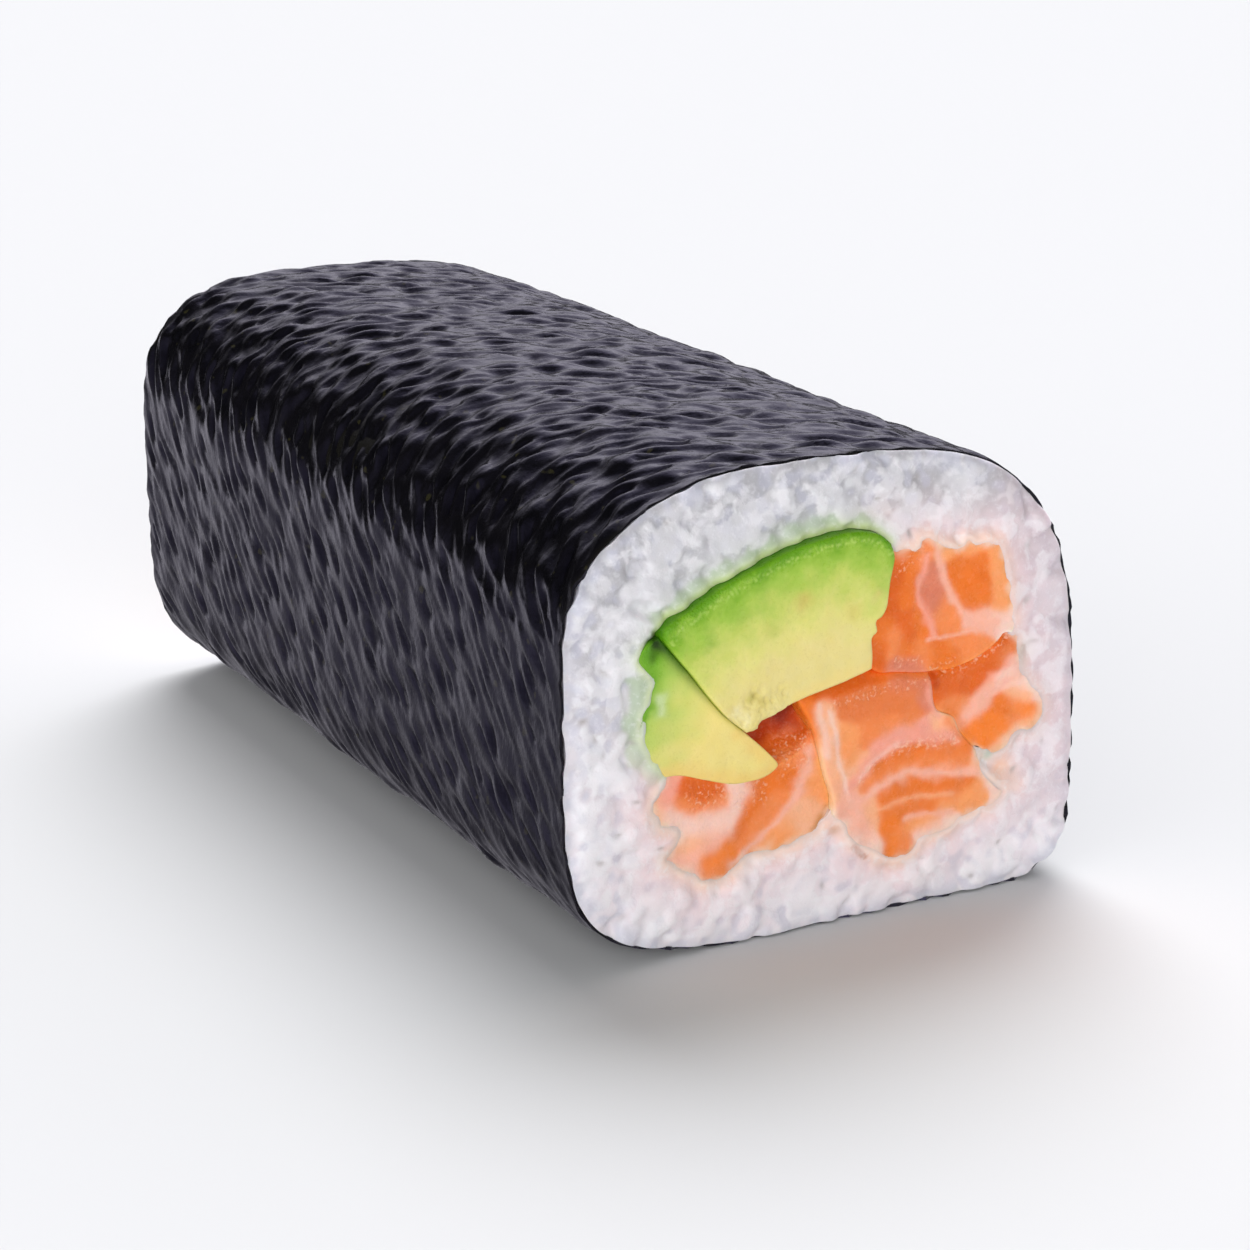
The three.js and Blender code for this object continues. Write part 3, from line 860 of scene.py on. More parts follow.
def small_wedge_paint(points, side):
    spot = warped(points, side, 0.15)
    colour = ramp(
        distance_to_line(spot, [(-16.8, 28), (-18, 25), (-18.9, 22.6)]) + 0.35 * MOTTLE(points),
        (0, (98, 162, 30)), (1.0, (122, 177, 47)), (2.6, (176, 204, 94)), (5, (214, 216, 122)),
        (8, (238, 220, 140)),
    )
    lower = stroke(spot, border("wedgeOnSalmon"), 0.4, 1.5)
    colour = layered(colour, ((240, 202, 118), 0.6 * lower), *spots_on(spot, SMALL_WEDGE_SPOTS))
    # The shade of the other wedge grows deeper and greener towards the skin.
    fading = smoothstep(19.0, 26.5, points[:, 1])
    dark = layered(linear((120, 128, 30)), ((34, 88, 4), fading))
    to_wedge = distance_to_line(points, border("wedges"))
    colour = mixed(colour, dark, (0.3 + 0.6 * fading) * np.exp(-((to_wedge / (0.3 + 0.45 * fading)) ** 2)))
    colour = layered(
        colour,
        ((96, 156, 26), 0.7 * stroke(spot, [(-17.9, 20.6), (-17.6, 22.6), (-17.2, 24.2)], 0.3, 0.5)),
        # The crevice is painted near black green: painted shade in the gap.
        ((12, 46, 0), np.clip(1.2 * in_crevice(spot, side, 0.7), 0, 1)),
    )
    return colour, 0.25 * stroke(points, border("wedgeRim"), 0.8, 0.4)


# Tones of salmon flesh and fat, as they look in the soft light of the studio. The darkest two are painted
# shade, for the left strip's hollow and the seam at the hub.
TONES = {
    "ember": (136, 36, 2), "rust": (178, 64, 16), "deep": (221, 108, 50), "orange": (231, 124, 60),
    "flesh": (226, 128, 80), "bright": (243, 134, 64), "coral": (239, 142, 90), "amber": (246, 160, 106),
    "peach": (247, 180, 140), "mauve": (216, 131, 106), "pink": (240, 164, 142), "fat": (244, 180, 154),
    "pale": (247, 202, 180), "tan": (205, 140, 88),
}
# Soft areas of flesh, as tone: line. Each tone spreads from its line to where the next one's begins. The dark
# washes in the left strip's hollow and along the edges that lie under the wedges are painted shade.
WASHES = {
    "salmon_top_right": """
        orange: 6.2,31.4 8,31.8 | deep: 6.2,30 5.9,28 5.4,26.6 | orange: 7.6,29.8 7.2,27.6 | coral: 8.4,30.6
        9.6,31.8 | mauve: 9.4,29.2 9.3,27.8 9.8,26.4 | coral: 10.6,25.8 11.6,25 | orange: 12.2,29.6 12.8,28
        | orange: 13,27.6 13.8,26.4 | orange: 14.2,29.4 14.8,26.6 | amber: 16.2,30 16.7,27 16.7,25.4 |
        amber: 10.6,31.2 14,31.2 | pale: 11,32.2 15.6,31.9 | fat: 13.8,24.6 15.6,24 | pale: 16.4,24.2
        17.4,23.6 | orange: 4.8,25.4 4.5,24 | deep: 4.3,23.4 4.3,22.2 | deep: 7,25.4 7.6,24.2 | orange:
        8.4,25.4 9,24 | coral: 8.6,23 9.1,22.2 | orange: 10,22.4 11.6,22 | coral: 12.4,22.8 14.6,22.4 |
        coral: 6,24.2 6,23 | mauve: 6.4,21.8 8.2,21.6 | orange: 7.2,23 7.6,22.9
    """,
    "salmon_right": """
        deep: 10.6,19.8 13,20 15.6,20.8 17.2,22.4 | deep: 11.6,18.8 14.2,18.6 16,19.8 | flesh: 17,20.8
        18,21.6 | coral: 12,17.6 13.2,17 12.6,16.2 | fat: 13.8,16.3 15,17.2 16.2,18.3 17.4,19 | pink:
        18.2,20.2 19.2,19.8 | bright: 14.2,15 14.8,14 | bright: 15.8,15.6 17,14.4 | orange: 16.6,16.6
        17.6,16.5 | peach: 18.4,17.4 19.4,16.9 | coral: 18.3,15.4 18.7,15.8 | bright: 19.2,16 20.2,15.4 |
        pale: 18.2,18.6 20,18.3 21,17.2 | pale: 19,19.6 20.6,18.8 | peach: 17.6,13.2 19.6,14 21.2,15
    """,
    "salmon_center": """
        deep: -1,20.5 2,20.9 4.4,21.5 | orange: 4.8,21.3 9,20.9 | orange: -2.5,19.8 -2.2,17.8 -1.8,15.6 |
        peach: -1,14 -0.4,12 0.2,11 | peach: -0.8,19.2 -0.5,17 0,14.6 0.6,13 | flesh: 1.4,19.2 4,19.6 8,19.4
        | mauve: 6.4,20.2 8.8,19.6 9.2,18.4 | flesh: 2.6,18.2 8,17.6 | coral: 3.6,17 7.8,17 | peach:
        10.6,15.8 12.4,15 | amber: 1.9,16.6 2.2,14.4 | coral: 3.4,15.8 4.8,16.2 | peach: 2.4,13 3.2,13.9 |
        pink: 4.8,14.9 6.4,15.7 9,15.6 | orange: 4.8,12.9 7,13.7 9.5,13.7 13.4,13.2 | coral: 4.2,12.3 7,12.8
        10,12.7 14,12.4 | peach: 14.8,11.9 15.8,10.6 | orange: 5.4,10.3 8,10.8 10.6,10.7 13.8,10.2 | orange:
        6,9.9 9,10.2 12,10 | coral: 5.6,9.4 9,9.6 12.6,9.4 | orange: 5.6,8.8 8,9 10.2,8.9 | amber: 11.4,8.6
        14,9 15,9.3 | bright: 5.8,8 6.2,7 6.4,6 | coral: 7,6.8 7.6,5.6 | amber: 8.4,7.4 10.6,7.4 | pale:
        9.4,6.4 11.6,7 | peach: 4.1,9.6 4.3,8 | fat: 3,8.8 3.8,7 | pale: 4.6,6 2.6,7.6 | fat: 1.4,10.4 2,9.2
        2.4,8.2 | pale: 16.6,10 17.6,8.4
    """,
    "salmon_left": """
        ember: -4.8,19.3 -3.4,20.1 | rust: -7,18.7 -5.2,18.1 | rust: -3.6,19 -3.2,18 | deep: -2.6,19.6
        -2.2,18 | deep: -5.4,17 -3.4,17.1 | coral: -4.2,15.6 -2.6,16 | orange: -6.6,14.6 -5.4,14 -3.9,13.4 |
        orange: -6.8,13 -7.6,11.6 -8.6,10 | coral: -4.8,12 -6.2,10.8 -8.4,9 | amber: -1.3,13.4 -0.9,11.8 |
        peach: -1.6,10.6 -3.4,9.6 | amber: -4,9.2 -6,8.6 | deep: -13.6,14.3 -12.2,13.5 -10.8,13.8 | deep:
        -12.6,15.1 -10.6,14.9 | coral: -14,13.3 -12.2,12.5 -10.2,12.8 | pink: -15.2,15.4 -15.5,13.8 | peach:
        -16.6,13.2 -16.2,12.2 | pale: -15.2,12.4 -14,11.6 -10.4,11.7 | pale: -13.8,10.6 -9.6,10.7 | pale:
        -9.4,14.8 -8.9,13.4 -9.1,12.2 | fat: -8.1,14.2 -8,13 | fat: -11.4,9.9 -10.2,9.8 | peach: -14.6,9.6
        -12.4,9.7 | fat: -15,8.8 -13.4,8.2 | fat: -12.4,8.9 -11,9.1 | bright: -9.8,8.6 -11.6,7.7 | fat:
        -13.6,7.6 -12.6,7.2 | coral: -11.4,6.8 -10,7 | tan: -0.2,9.6 0.4,9
    """,
}
# Lines of fat and of shade laid on the flesh, as tone, half width, share: line.
MARKS = {
    "salmon_top_right": """
        pink 0.34 0.85: 9.2,30.8 8.7,29.6 8.3,28.2 8.4,27 8.9,26 9.6,24.9 9.9,23.8 | fat 0.34 0.95: 10,30.8
        10.5,29.5 11.1,28.2 11.6,27 12.3,25.8 13.1,25 14.4,24.4 16.2,24 | fat 0.16 0.8: 9.4,23.4 10.6,23.5
        12.4,23.6 14.2,23.5
    """,
    "salmon_right": """
        fat 0.6 1: 13.1,15.8 14.3,16.6 15.2,17.5 16.2,18.4 17.4,19 18.8,19.1 | pale 0.5 0.7: 16.8,19 18,19.5
        | orange 0.3 0.6: 11.3,17.4 12.4,16.2 13.4,15 14.2,13.8 | rust 0.4 0.7: 9.9,20.4 10.2,19.5
    """,
    "salmon_center": """
        pink 0.7 0.9: 2.2,11.9 3.2,13 4.4,14.1 5.8,14.9 7.2,15.3 9,15.1 10.6,14.8 12.4,14.5 | pale 0.22 0.5:
        2.8,12.4 4,13.5 5.4,14.3 6.6,14.9 | fat 0.45 0.95: 3.2,10.5 4.6,11.2 6,11.7 7.6,12 9,11.9 10.4,11.6
        11.8,11.4 13.6,11.1 15.4,10.8 | peach 0.22 0.6: 4.6,9.4 6.4,9.5 8.4,9.7 10.4,9.6 12.4,9.4 | fat 0.3
        0.8: 7.4,8 9,8.2 10.6,8 12,7.7 | pale 0.3 0.7: -1.3,19.5 -1,18.4 -0.6,17 -0.3,15 | pale 0.24 0.85:
        -0.2,18.8 0.4,17 0.7,15.2 1.1,13.4 1.7,11.8 2,10.8 | fat 0.5 0.7: 1.9,11 2.6,9.6 3.2,8 | pink 0.4
        0.8: 9.5,19 10,17.8 10.7,16.5 | orange 0.35 0.6: 11.6,16.2 12.6,14.9 13.6,13.6
    """,
    "salmon_left": """
        fat 0.55 0.9: -2,15.6 -2.3,14.2 -2.8,12.8 -3.4,11.8 | fat 0.34 0.95: -2.8,12.8 -3.6,11.5 -4.8,10.2
        -6.3,9.1 -8,8 -9.4,7.1 | pale 0.35 0.6: -8.6,14.4 -8.4,13 -8.9,11.8 -9.6,10.4
    """,
}
# Where the flesh glints, painted as pale specks with a stronger bump, as width, soft distance: line.
GLINTS = {
    "salmon_top_right": """
        0.4 0.6: 6.3,29.8 7.2,30.3 8.6,31.2 | 0.3 0.5: 6.2,22 8.8,21.8 | 0.3 0.4: 10,21 12,21.4
    """,
    "salmon_right": """
        0.45 0.6: 11,20.4 13,20.8 15,21.3 16.4,22 17.4,22.4
    """,
    "salmon_center": """
        0.45 0.5: 0.4,19.2 2,19.3 4.2,19.9 6.6,19.8 9.2,20 | 0.5 0.5: 3,12.2 4.2,13.2 5.6,13.9 6.8,14.4
        8.2,14.5 10,14.3 12.6,14.4
    """,
    "salmon_left": """
        1.3 0.8: -4.6,16.2 -2.8,16.4 | 0.9 0.8: -4,14.6 -3,15 | 0.8 0.7: -7,14.6 -6.6,12.6 | 1 0.8: -13,13.6
        -10.6,13.4 | 0.5 0.5: -8.6,12.8 -8.4,11.8
    """,
}
WASH_SPREAD = 0.7
RECESS = (np.array([-5.6, 18.2]), np.array([3.9, 3.1]), 2.2)  # the left strip's hollow: centre, radii, depth
BEVELS = {  # a strip's front falls off above a line: the line, over what distance and by how much
    "salmon_center": ([(-2, 20.3), (0, 20.2), (4, 20.5), (7, 20.6), (9.3, 20.2)], 1.2, 0.6),
    "salmon_right": ([(9, 20.1), (13, 20.6), (15, 21.3), (16.4, 22.2), (18, 22.6)], 0.8, 0.3),
}


def paint_for(tone):
    """The paint that looks like a tone once it is lit and the light has passed through the flesh."""
    red, green, blue = TONES[tone]
    return linear(np.clip((red + 4, 1.1 * green - 15, 1.25 * blue - 32), 0, 255))


def own_offset(name):
    """A distance that gives each strip its own part of a noise."""
    return float(sum(map(ord, name)))


def salmon_relief(name, points, side):
    apart = points + own_offset(name)
    height = 0.08 * SOFT_RELIEF(apart) + 0.03 * MID_RELIEF(apart)
    height += 0.008 * FINE_RELIEF(points)
    if side == FRONT and name == "salmon_left":
        centre, radii, depth = RECESS
        height -= depth * np.sqrt(np.maximum(0, 1 - (((points - centre) / radii) ** 2).sum(1)))
    if side == FRONT and name in BEVELS:
        line, reach, drop = BEVELS[name]
        above = points[:, 1] - np.interp(points[:, 0], *zip(*line))
        height -= drop * smoothstep(-0.15, reach, above)
    return height


def salmon_paint(name, points, side, to_edge):
    offset = own_offset(name)
    stand = STRIPS[name][1][FRONT] + (salmon_relief(name, points, side) if side == FRONT else 0 * to_edge)
    spot = warped(points, side) - SEEN_SHIFT * stand[:, None]
    tones, lines = zip(*strokes_of(WASHES[name]))
    away = np.stack([distance_to_line(spot, line) for line in lines], -1)
    weight = np.exp(-(away**2 - away.min(1, keepdims=True) ** 2) / WASH_SPREAD**2)
    weight /= weight.sum(1, keepdims=True)
    colour = weight @ np.array([paint_for(tone) for tone in tones])
    for tone, half, share, line in strokes_of(MARKS[name]):
        away = distance_to_line(spot, curve_through(line, 0.5))
        wide = float(half) * (1 + 0.18 * MOTTLE(points * 1.7 + offset))
        cover = float(share) * np.exp(-((away / np.maximum(wide, 0.08)) ** 2) * 0.8)
        colour = mixed(colour, paint_for(tone), cover)
    reach = 0.5 + 0.18 * np.clip(CLOUD(points), -1.5, 2)
    near_rice = np.exp(-((to_borders(points, SALMON_RIMS) / reach) ** 2))
    colour = layered(colour, ((252, 218, 202), 0.6 * near_rice))
    # Each strip is painted lighter within about 0.2 mm of its edge, as painted light against the shade in its
    # seams, and its tone wavers a little.
    colour *= (1 + 0.2 * np.exp(-((to_edge / 0.2) ** 2)) + 0.012 * MOTTLE(points + offset))[:, None]
    glints = [
        stroke(spot, line, float(width), float(soft)) for width, soft, line in strokes_of(GLINTS[name])
    ]
    return np.clip(colour, 0, 1), 0.1 + 0.9 * np.max(glints, 0)


WEDGES = {
    "avocado_large": (large_wedge_relief, large_wedge_paint),
    "avocado_small": (small_wedge_relief, small_wedge_paint),
}


def relief_of(name, points, side):
    """How far the points of a strip's cut rise above its stand."""
    return WEDGES[name][0](points, side) if name in WEDGES else salmon_relief(name, points, side)


def paint_of(name, points, side, to_edge):
    """The colour of a strip's cut, and how much it glints."""
    return WEDGES[name][1](points, side) if name in WEDGES else salmon_paint(name, points, side, to_edge)


def side_tone(name, outline):
    """The tone of a strip's sides against its cut. The salmon strips' sides are painted lighter, as painted
    light against the shade on them.
    """
    if name != "avocado_large":
        return np.array([0.8, 0.86, 0.6] if name == "avocado_small" else [1.2, 1.15, 0.95])
    # The large wedge's side is painted lighter and greener where it lies on the other wedge than along its
    # skin: painted light against the shade in the slit between them.
    near = smoothstep(1.0, 0.2, distance_to_line(outline, border("wedges")))
    return mixed(np.array([0.5, 0.7, 0.3]), np.array([0.62, 0.85, 0.2]), near)


def make_fillings():
    materials = {"avocado": avocado_material(), "salmon": salmon_material()}
    for name in STRIPS:
        slot = name.split("_")[0]
        make_filling(name, materials[slot])


# ---------------------------------------------------------------- rice

RICE_STEP = 0.2
RICE_OUTER = 540
RICE_SHARES = (0.0, 0.006, 0.03, 0.12, 0.25, 0.375, 0.5, 0.625, 0.75, 0.88, 0.97, 0.994)
GRAIN_LENGTH = 5.4
GRAIN_WIDTH = 2.3
GRAIN_LAYERS = ((300, 1.2, 0.35, 1.3, 1.0), (240, 1.4, 1.2, 2.2, 0.8))  # count, spacing, depths and lean
BEAD_RUNS = (("avocadoRim", 0.8, 21.5), ("wedgeRim", 0.9, 11.5))  # where the row of clear grains lies
BEAD_ROOM = 1.35  # how near the middle of another grain may come to that of a clear one
NO_GRAIN = -1e3
MELT = 0.25  # how softly the grains run together
KNIFE_KEEP = 0.22  # how much of a grain is left above the knife's cut
BEAD_TOP = 0.4  # the clear grains are cut off at this height
CLUMP_HEIGHT = 0.13
FLOOR_DEPTH = 1.7  # the grains lie on a floor this far below the cut
PITS = 26
RICE_PIT_DEPTH = 0.4
CLEAR = 0.03  # the room between the rice and the fillings
UNDER_LIP = 0.15  # how far behind the fillings' cut the wall of the hole starts
LAP = 0.4  # how far the rice reaches over the edge of a low filling
LOW_STAND = 0.55
RISE = 0.35  # how far the rice climbs beside a high filling, as a share of what shows of it
WALL_DEPTH = 0.8  # how far below the roll's skin the rice lies under the sheet


def scatter(random, count, area, free, spacing):
    """Random places in an area, none nearer than the spacing to another."""
    low, high = area
    spots = low + (high - low) * random.random((count * 40, 2))
    found = np.zeros((0, 2))
    for spot in spots[free(spots)]:
        if len(found) < count and np.all(np.linalg.norm(found - spot, axis=1) >= spacing):
            found = np.vstack([found, spot])
    return found


def grain_heights(points, centres, depth, angle, tilt, a, b):
    """How far the top of each grain lies outside the cut, point by grain; far inside where it isn't there."""
    u = np.stack([np.cos(tilt) * np.cos(angle), np.cos(tilt) * np.sin(angle), np.sin(tilt)], -1)
    best = np.full((len(points), len(centres)), NO_GRAIN, np.float32)
    for k, (ux, uz, ut) in enumerate(u):
        rel = points - centres[k]
        near = np.abs(rel).max(1) < a[k]
        d = rel[near]
        wide, slim = 1 / b[k] ** 2, 1 / a[k] ** 2 - 1 / b[k] ** 2
        flat = d[:, 0] * ux + d[:, 1] * uz
        qa = wide + slim * ut**2
        qb = slim * ut * flat
        qc = wide * (d**2).sum(1) + slim * flat**2 - 1
        root = qb**2 - qa * qc
        top = -depth[k] + (-qb + np.sqrt(np.maximum(root, 0))) / qa
        best[near, k] = np.where(root > 0, top, NO_GRAIN)
    return best


def bead_row(random):
    """Centres and angles of the clear grains that lie in a row along the avocado's skin."""
    centres, angles = [], []
    for name, at, stop in BEAD_RUNS:
        line = border(name)
        run = np.arange(len(line)) * OUTLINE_STEP
        while at < stop:
            spot = places_along(line, run, at)
            along = unit(places_along(line, run, at + 0.3) - spot)
            centres.append(spot + np.array([-along[1], along[0]]) * random.uniform(0.75, 0.95))
            angles.append(math.atan2(along[1], along[0]) + random.uniform(-0.3, 0.3))
            at += random.uniform(1.9, 2.5)
    return np.array(centres), np.array(angles)


def between(outer, hole, off_outer, off_hole):
    """A test of whether points lie in the ring of rice, clear of its outer rim and its hole."""
    around, tunnel = inset(outer, off_outer), inset(hole, -off_hole)
    return lambda points: inside(points, around) & ~inside(points, tunnel)


def scattered_grains(side, outer, hole, random):
    """The grains of one cut, as centres, depths, angles, tilts, half lengths and half widths.

    The clear grains come last, and their number is given too.
    """
    beads, bead_angles = bead_row(random)
    beads = drift(beads, ends[side])[:, [0, 2]]
    layers = []
    for count, spacing, depth_low, depth_high, lean in GRAIN_LAYERS:
        area = (outer.min(0), outer.max(0))
        centres = scatter(random, count, area, between(outer, hole, 0.9, 0.9), spacing)
        n = len(centres)
        size = random.uniform(0.82, 1.12, n)
        layer = [
            centres,
            random.uniform(depth_low, depth_high, n),
            random.uniform(0, math.pi, n),
            lean * random.uniform(-1, 1, n),
            size * GRAIN_LENGTH / 2,
            size * GRAIN_WIDTH / 2,
        ]
        clear = np.array([np.linalg.norm(beads - c, axis=1).min() > BEAD_ROOM for c in centres])
        layers.append([part[clear] for part in layer])
    n = len(beads)
    bead_depths = random.uniform(0.5, 0.75, n)
    bead_tilts = random.uniform(-0.2, 0.2, n)
    sizes = [random.uniform(1.2, 1.55, n), random.uniform(0.85, 1.0, n)]
    layers.append([beads, bead_depths, bead_angles, bead_tilts, *sizes])
    return [np.concatenate(parts) for parts in zip(*layers)], n


def torn_pits(points, outer, hole, random):
    """How much of a small pit, where a grain was torn out, each point is."""
    pit = np.zeros(len(points))
    for at in scatter(random, PITS, (outer.min(0), outer.max(0)), between(outer, hole, 1.2, 1.0), 1.6):
        angle = random.uniform(0, math.pi)
        radii = np.array([random.uniform(0.3, 0.5), random.uniform(0.14, 0.24)])
        away = ((turned(points - at, -angle) / radii) ** 2).sum(1)
        pit = np.maximum(pit, random.uniform(0.5, 1.0) * np.exp(-away))
    return pit


def rice_cap(side, outer, hole, random):
    """One cut of the rice: its places, triangles, paint and share of white flakes."""
    grid = lattice(outer.min(0), outer.max(0), RICE_STEP)
    grid = grid[between(outer, hole, 0.1, 0.1)(grid)]
    grid = grid[(distance_to_line(grid, outer, True) > 0.1) & (distance_to_line(grid, hole, True) > 0.1)]
    points = np.vstack([outer, hole, grid])
    triangles = triangulate(points, [len(outer), len(hole)])
    to_nori = distance_to_line(points, outer, True)
    to_hole = distance_to_line(points, hole, True)
    grains, bead_count = scattered_grains(side, outer, hole, random)
    grain_count = len(grains[0])
    heights = grain_heights(points, *grains)
    heights = np.concatenate([heights, np.full((len(points), 1), -FLOOR_DEPTH)], 1)
    top = heights.max(1)
    height = top + MELT * np.log(np.exp(np.maximum(-30, (heights - top[:, None]) / MELT)).sum(1))
    winner = heights.argmax(1)
    bead = (winner >= grain_count - bead_count) & (winner < grain_count)
    # Firm white clumps stand a little above the clearer grains between them.
    clump = CLUMP(points + 13 * side) + 0.4 * CLOUD(points + 5 * side) + 0.15 * GRIT(points + 3 * side)
    clump = smoothstep(0.0, 0.3, clump) * smoothstep(0.2, 0.8, to_nori) * (1 - bead)
    knife = 0.1 * SOFT_RELIEF(points + 40 * side) + 0.05
    over = height - knife
    cut = knife + over * np.where(over > 0, KNIFE_KEEP, 0.8)
    height = np.where(bead, np.minimum(height, BEAD_TOP), cut)
    height = height + CLUMP_HEIGHT * clump + 0.008 * GRIT(points * 2.2)
    pit = torn_pits(points, outer, hole, random)
    height -= RICE_PIT_DEPTH * pit
    # The grains round off towards the nori, and lie close to the fillings.
    shallow = 1 - 0.75 * smoothstep(1.1, 0.2, np.minimum(to_nori, to_hole))
    height = np.where(height < 0, height * np.where(bead, 1, shallow), height)
    notch = 0.5 + 0.5 * np.clip(MID_RELIEF(points * 1.3), -1, 1)
    height = smooth(height - 0.06 * notch * smoothstep(0.6, 0.0, to_nori), triangles, 5)
    # They climb beside the high fillings, and lap over the low ones.
    seen, lap = filling_seen(points, side)
    height += (1 - lap) * RISE * np.clip(seen - 0.3, 0, 1) * smoothstep(1.2, 0.1, to_hole)
    rest = seen - 0.02 + (0.13 + 0.04 * MID_RELIEF(points + 4)) * smoothstep(0, 0.5, to_hole)
    share = smoothstep(1.7, 0.1, to_hole) * lap
    height = height * (1 - share) + rest * share - 0.9 * in_crevice(points, side, 1.1)
    tone = smooth(random.uniform(-1, 1, grain_count + 1)[winner], triangles, 4)
    bead = smooth(bead.astype(float), triangles, 2)
    y = OUTWARDS[side] * (ROLL_LENGTH / 2 + height)
    return SimpleNamespace(
        place=np.stack([points[:, 0], y, points[:, 1]], -1),
        triangles=triangles,
        paint=rice_paint(points, side, height, tone, bead, clump, to_nori, pit),
        flake=(1 - bead) * smoothstep(0.2, 1.2, to_nori) * smoothstep(0.2, 0.9, to_hole) * (1 - pit),
    )


def filling_seen(points, side):
    """How far the nearest filling stands out of the cut, and how much of a lap the rice can make over it."""
    own = points if side == FRONT else undrift(points)
    away = np.stack([distance_to_line(own, border(rim)) for rim in RIM_PIECES], -1)
    weight = np.exp(-(away - away.min(1, keepdims=True)) / 0.25)
    weight /= weight.sum(1, keepdims=True)
    stands = np.array([STRIPS[name][1][side] for name in RIM_PIECES.values()])
    reliefs = np.stack([relief_of(name, own, side) for name in RIM_PIECES.values()], -1)
    low = (stands < LOW_STAND).astype(float)
    return (weight * (stands + reliefs)).sum(1), smoothstep(0.3, 0.9, weight @ low)


def smooth(values, triangles, times):
    """Each point's value evened out with its neighbours'."""
    count = len(values)
    a, b = np.vstack([triangles[:, [0, 1]], triangles[:, [1, 2]], triangles[:, [2, 0]]]).T
    weight = np.bincount(a, minlength=count) + np.bincount(b, minlength=count)
    for _ in range(times):
        total = np.bincount(a, values[b], count) + np.bincount(b, values[a], count)
        values = 0.5 * values + 0.5 * total / weight
    return values


def zip_rings(places, lower, upper):
    """Faces between two near rings with their own counts of vertices, both counterclockwise seen from -Y."""
    lower, upper = list(lower), list(upper)
    first = int(np.argmin(np.linalg.norm(places[upper] - places[lower[0]], axis=1)))
    upper = upper[first:] + upper[:first]
    faces, i, j = [], 0, 0
    while i < len(lower) or j < len(upper):
        a, b = lower[i % len(lower)], upper[j % len(upper)]
        next_a, next_b = lower[(i + 1) % len(lower)], upper[(j + 1) % len(upper)]
        along_lower = np.linalg.norm(places[next_a] - places[b])
        along_upper = np.linalg.norm(places[a] - places[next_b])
        if j >= len(upper) or (i < len(lower) and along_lower <= along_upper):
            faces.append((a, b, next_a))
            i += 1
        else:
            faces.append((a, b, next_b))
            j += 1
    return np.array(faces)


def make_rice():
    random = np.random.default_rng(3)
    turns = even_turns(RICE_OUTER)[::-1]
    rims = outline_from(RIM_PIECES)
    depth = at_turn(SHEET_AT_CUT, turns) - 0.04
    caps, holes = [], []
    for side in (FRONT, BACK):
        # The grains lap over the low fillings' edges in scallops, and stay off the high ones.
        reach = LAP + CLEAR + 0.12 * np.clip(SCALLOP(rims), -1.2, 1.6)
        holes.append(clean_inset(rims, filling_seen(rims, side)[1] * reach - CLEAR))
        outer = roll_surface(turns, np.full(RICE_OUTER, ends[side]), depth)[:, [0, 2]]
        caps.append(rice_cap(side, outer, drift(holes[side], ends[side])[:, [0, 2]], random))
    front, back = caps
    lip, rim = (np.arange(RICE_OUTER, RICE_OUTER + len(hole)) for hole in holes)
    # The wall of the hole starts under the lip, a little inside the fillings' edges.
    wall_line = holes[BACK]
    under = lip[np.linalg.norm(wall_line[:, None] - holes[FRONT][None], axis=2).argmin(1)]
    lip_height = -front.place[under, 1] - ROLL_LENGTH / 2
    seen = filling_seen(wall_line, FRONT)[0]
    hole_front = -ROLL_LENGTH / 2 - np.minimum(lip_height - 0.03, seen - UNDER_LIP)
    points, paints = [front.place], [front.paint]
    start = len(front.place)
    outer_rings, hole_rings = [np.arange(RICE_OUTER)], []
    for share in RICE_SHARES:
        points.append(drift(wall_line, hole_front * (1 - share) + back.place[rim, 1] * share))
        paints.append(front.paint[under] if share < 0.5 else back.paint[rim])
        hole_rings.append(np.arange(len(rim)) + start)
        start += len(rim)
        if share:
            y = front.place[:RICE_OUTER, 1] * (1 - share) + back.place[:RICE_OUTER, 1] * share
            at_cut = min(share, 1 - share) < 0.02
            points.append(roll_surface(turns, y, depth + 0.2 if at_cut else np.full(RICE_OUTER, WALL_DEPTH)))
            paints.append(caps[nearer_cut(share)].paint[:RICE_OUTER])
            outer_rings.append(np.arange(RICE_OUTER) + start)
            start += RICE_OUTER
    outer_rings.append(np.arange(RICE_OUTER) + start)
    hole_rings.append(rim + start)
    points = np.vstack([*points, back.place])
    faces = [front.triangles, back.triangles[:, ::-1] + start, *map(wall, outer_rings, outer_rings[1:])]
    faces += [wall(lower, upper)[:, ::-1] for lower, upper in zip(hole_rings, hole_rings[1:])]
    faces.append(zip_rings(points[:, [0, 2]], lip, hole_rings[0])[:, ::-1])
    attributes = {
        "paint": [*paints, back.paint],
        "flake": [front.flake, np.zeros(start - len(front.place)), back.flake],
    }
    sharp = [lip, hole_rings[-1], outer_rings[0], outer_rings[-1]]
    make_mesh("rice_grains", [points], faces, attributes, rice_material(), "rice", sharp)


RICE_SPOTS = (
    ((17.2, 10.8), 1.2, (250, 200, 168), 0.8),
    ((18.4, 9.4), 1.2, (248, 216, 200), 0.7),
    ((15.6, 12.4), 0.6, (190, 202, 184), 0.8),
    ((19, 21.2), 1.0, (206, 188, 172), 0.7),
    ((0.5, 8.3), 0.5, (214, 160, 116), 0.7),
)


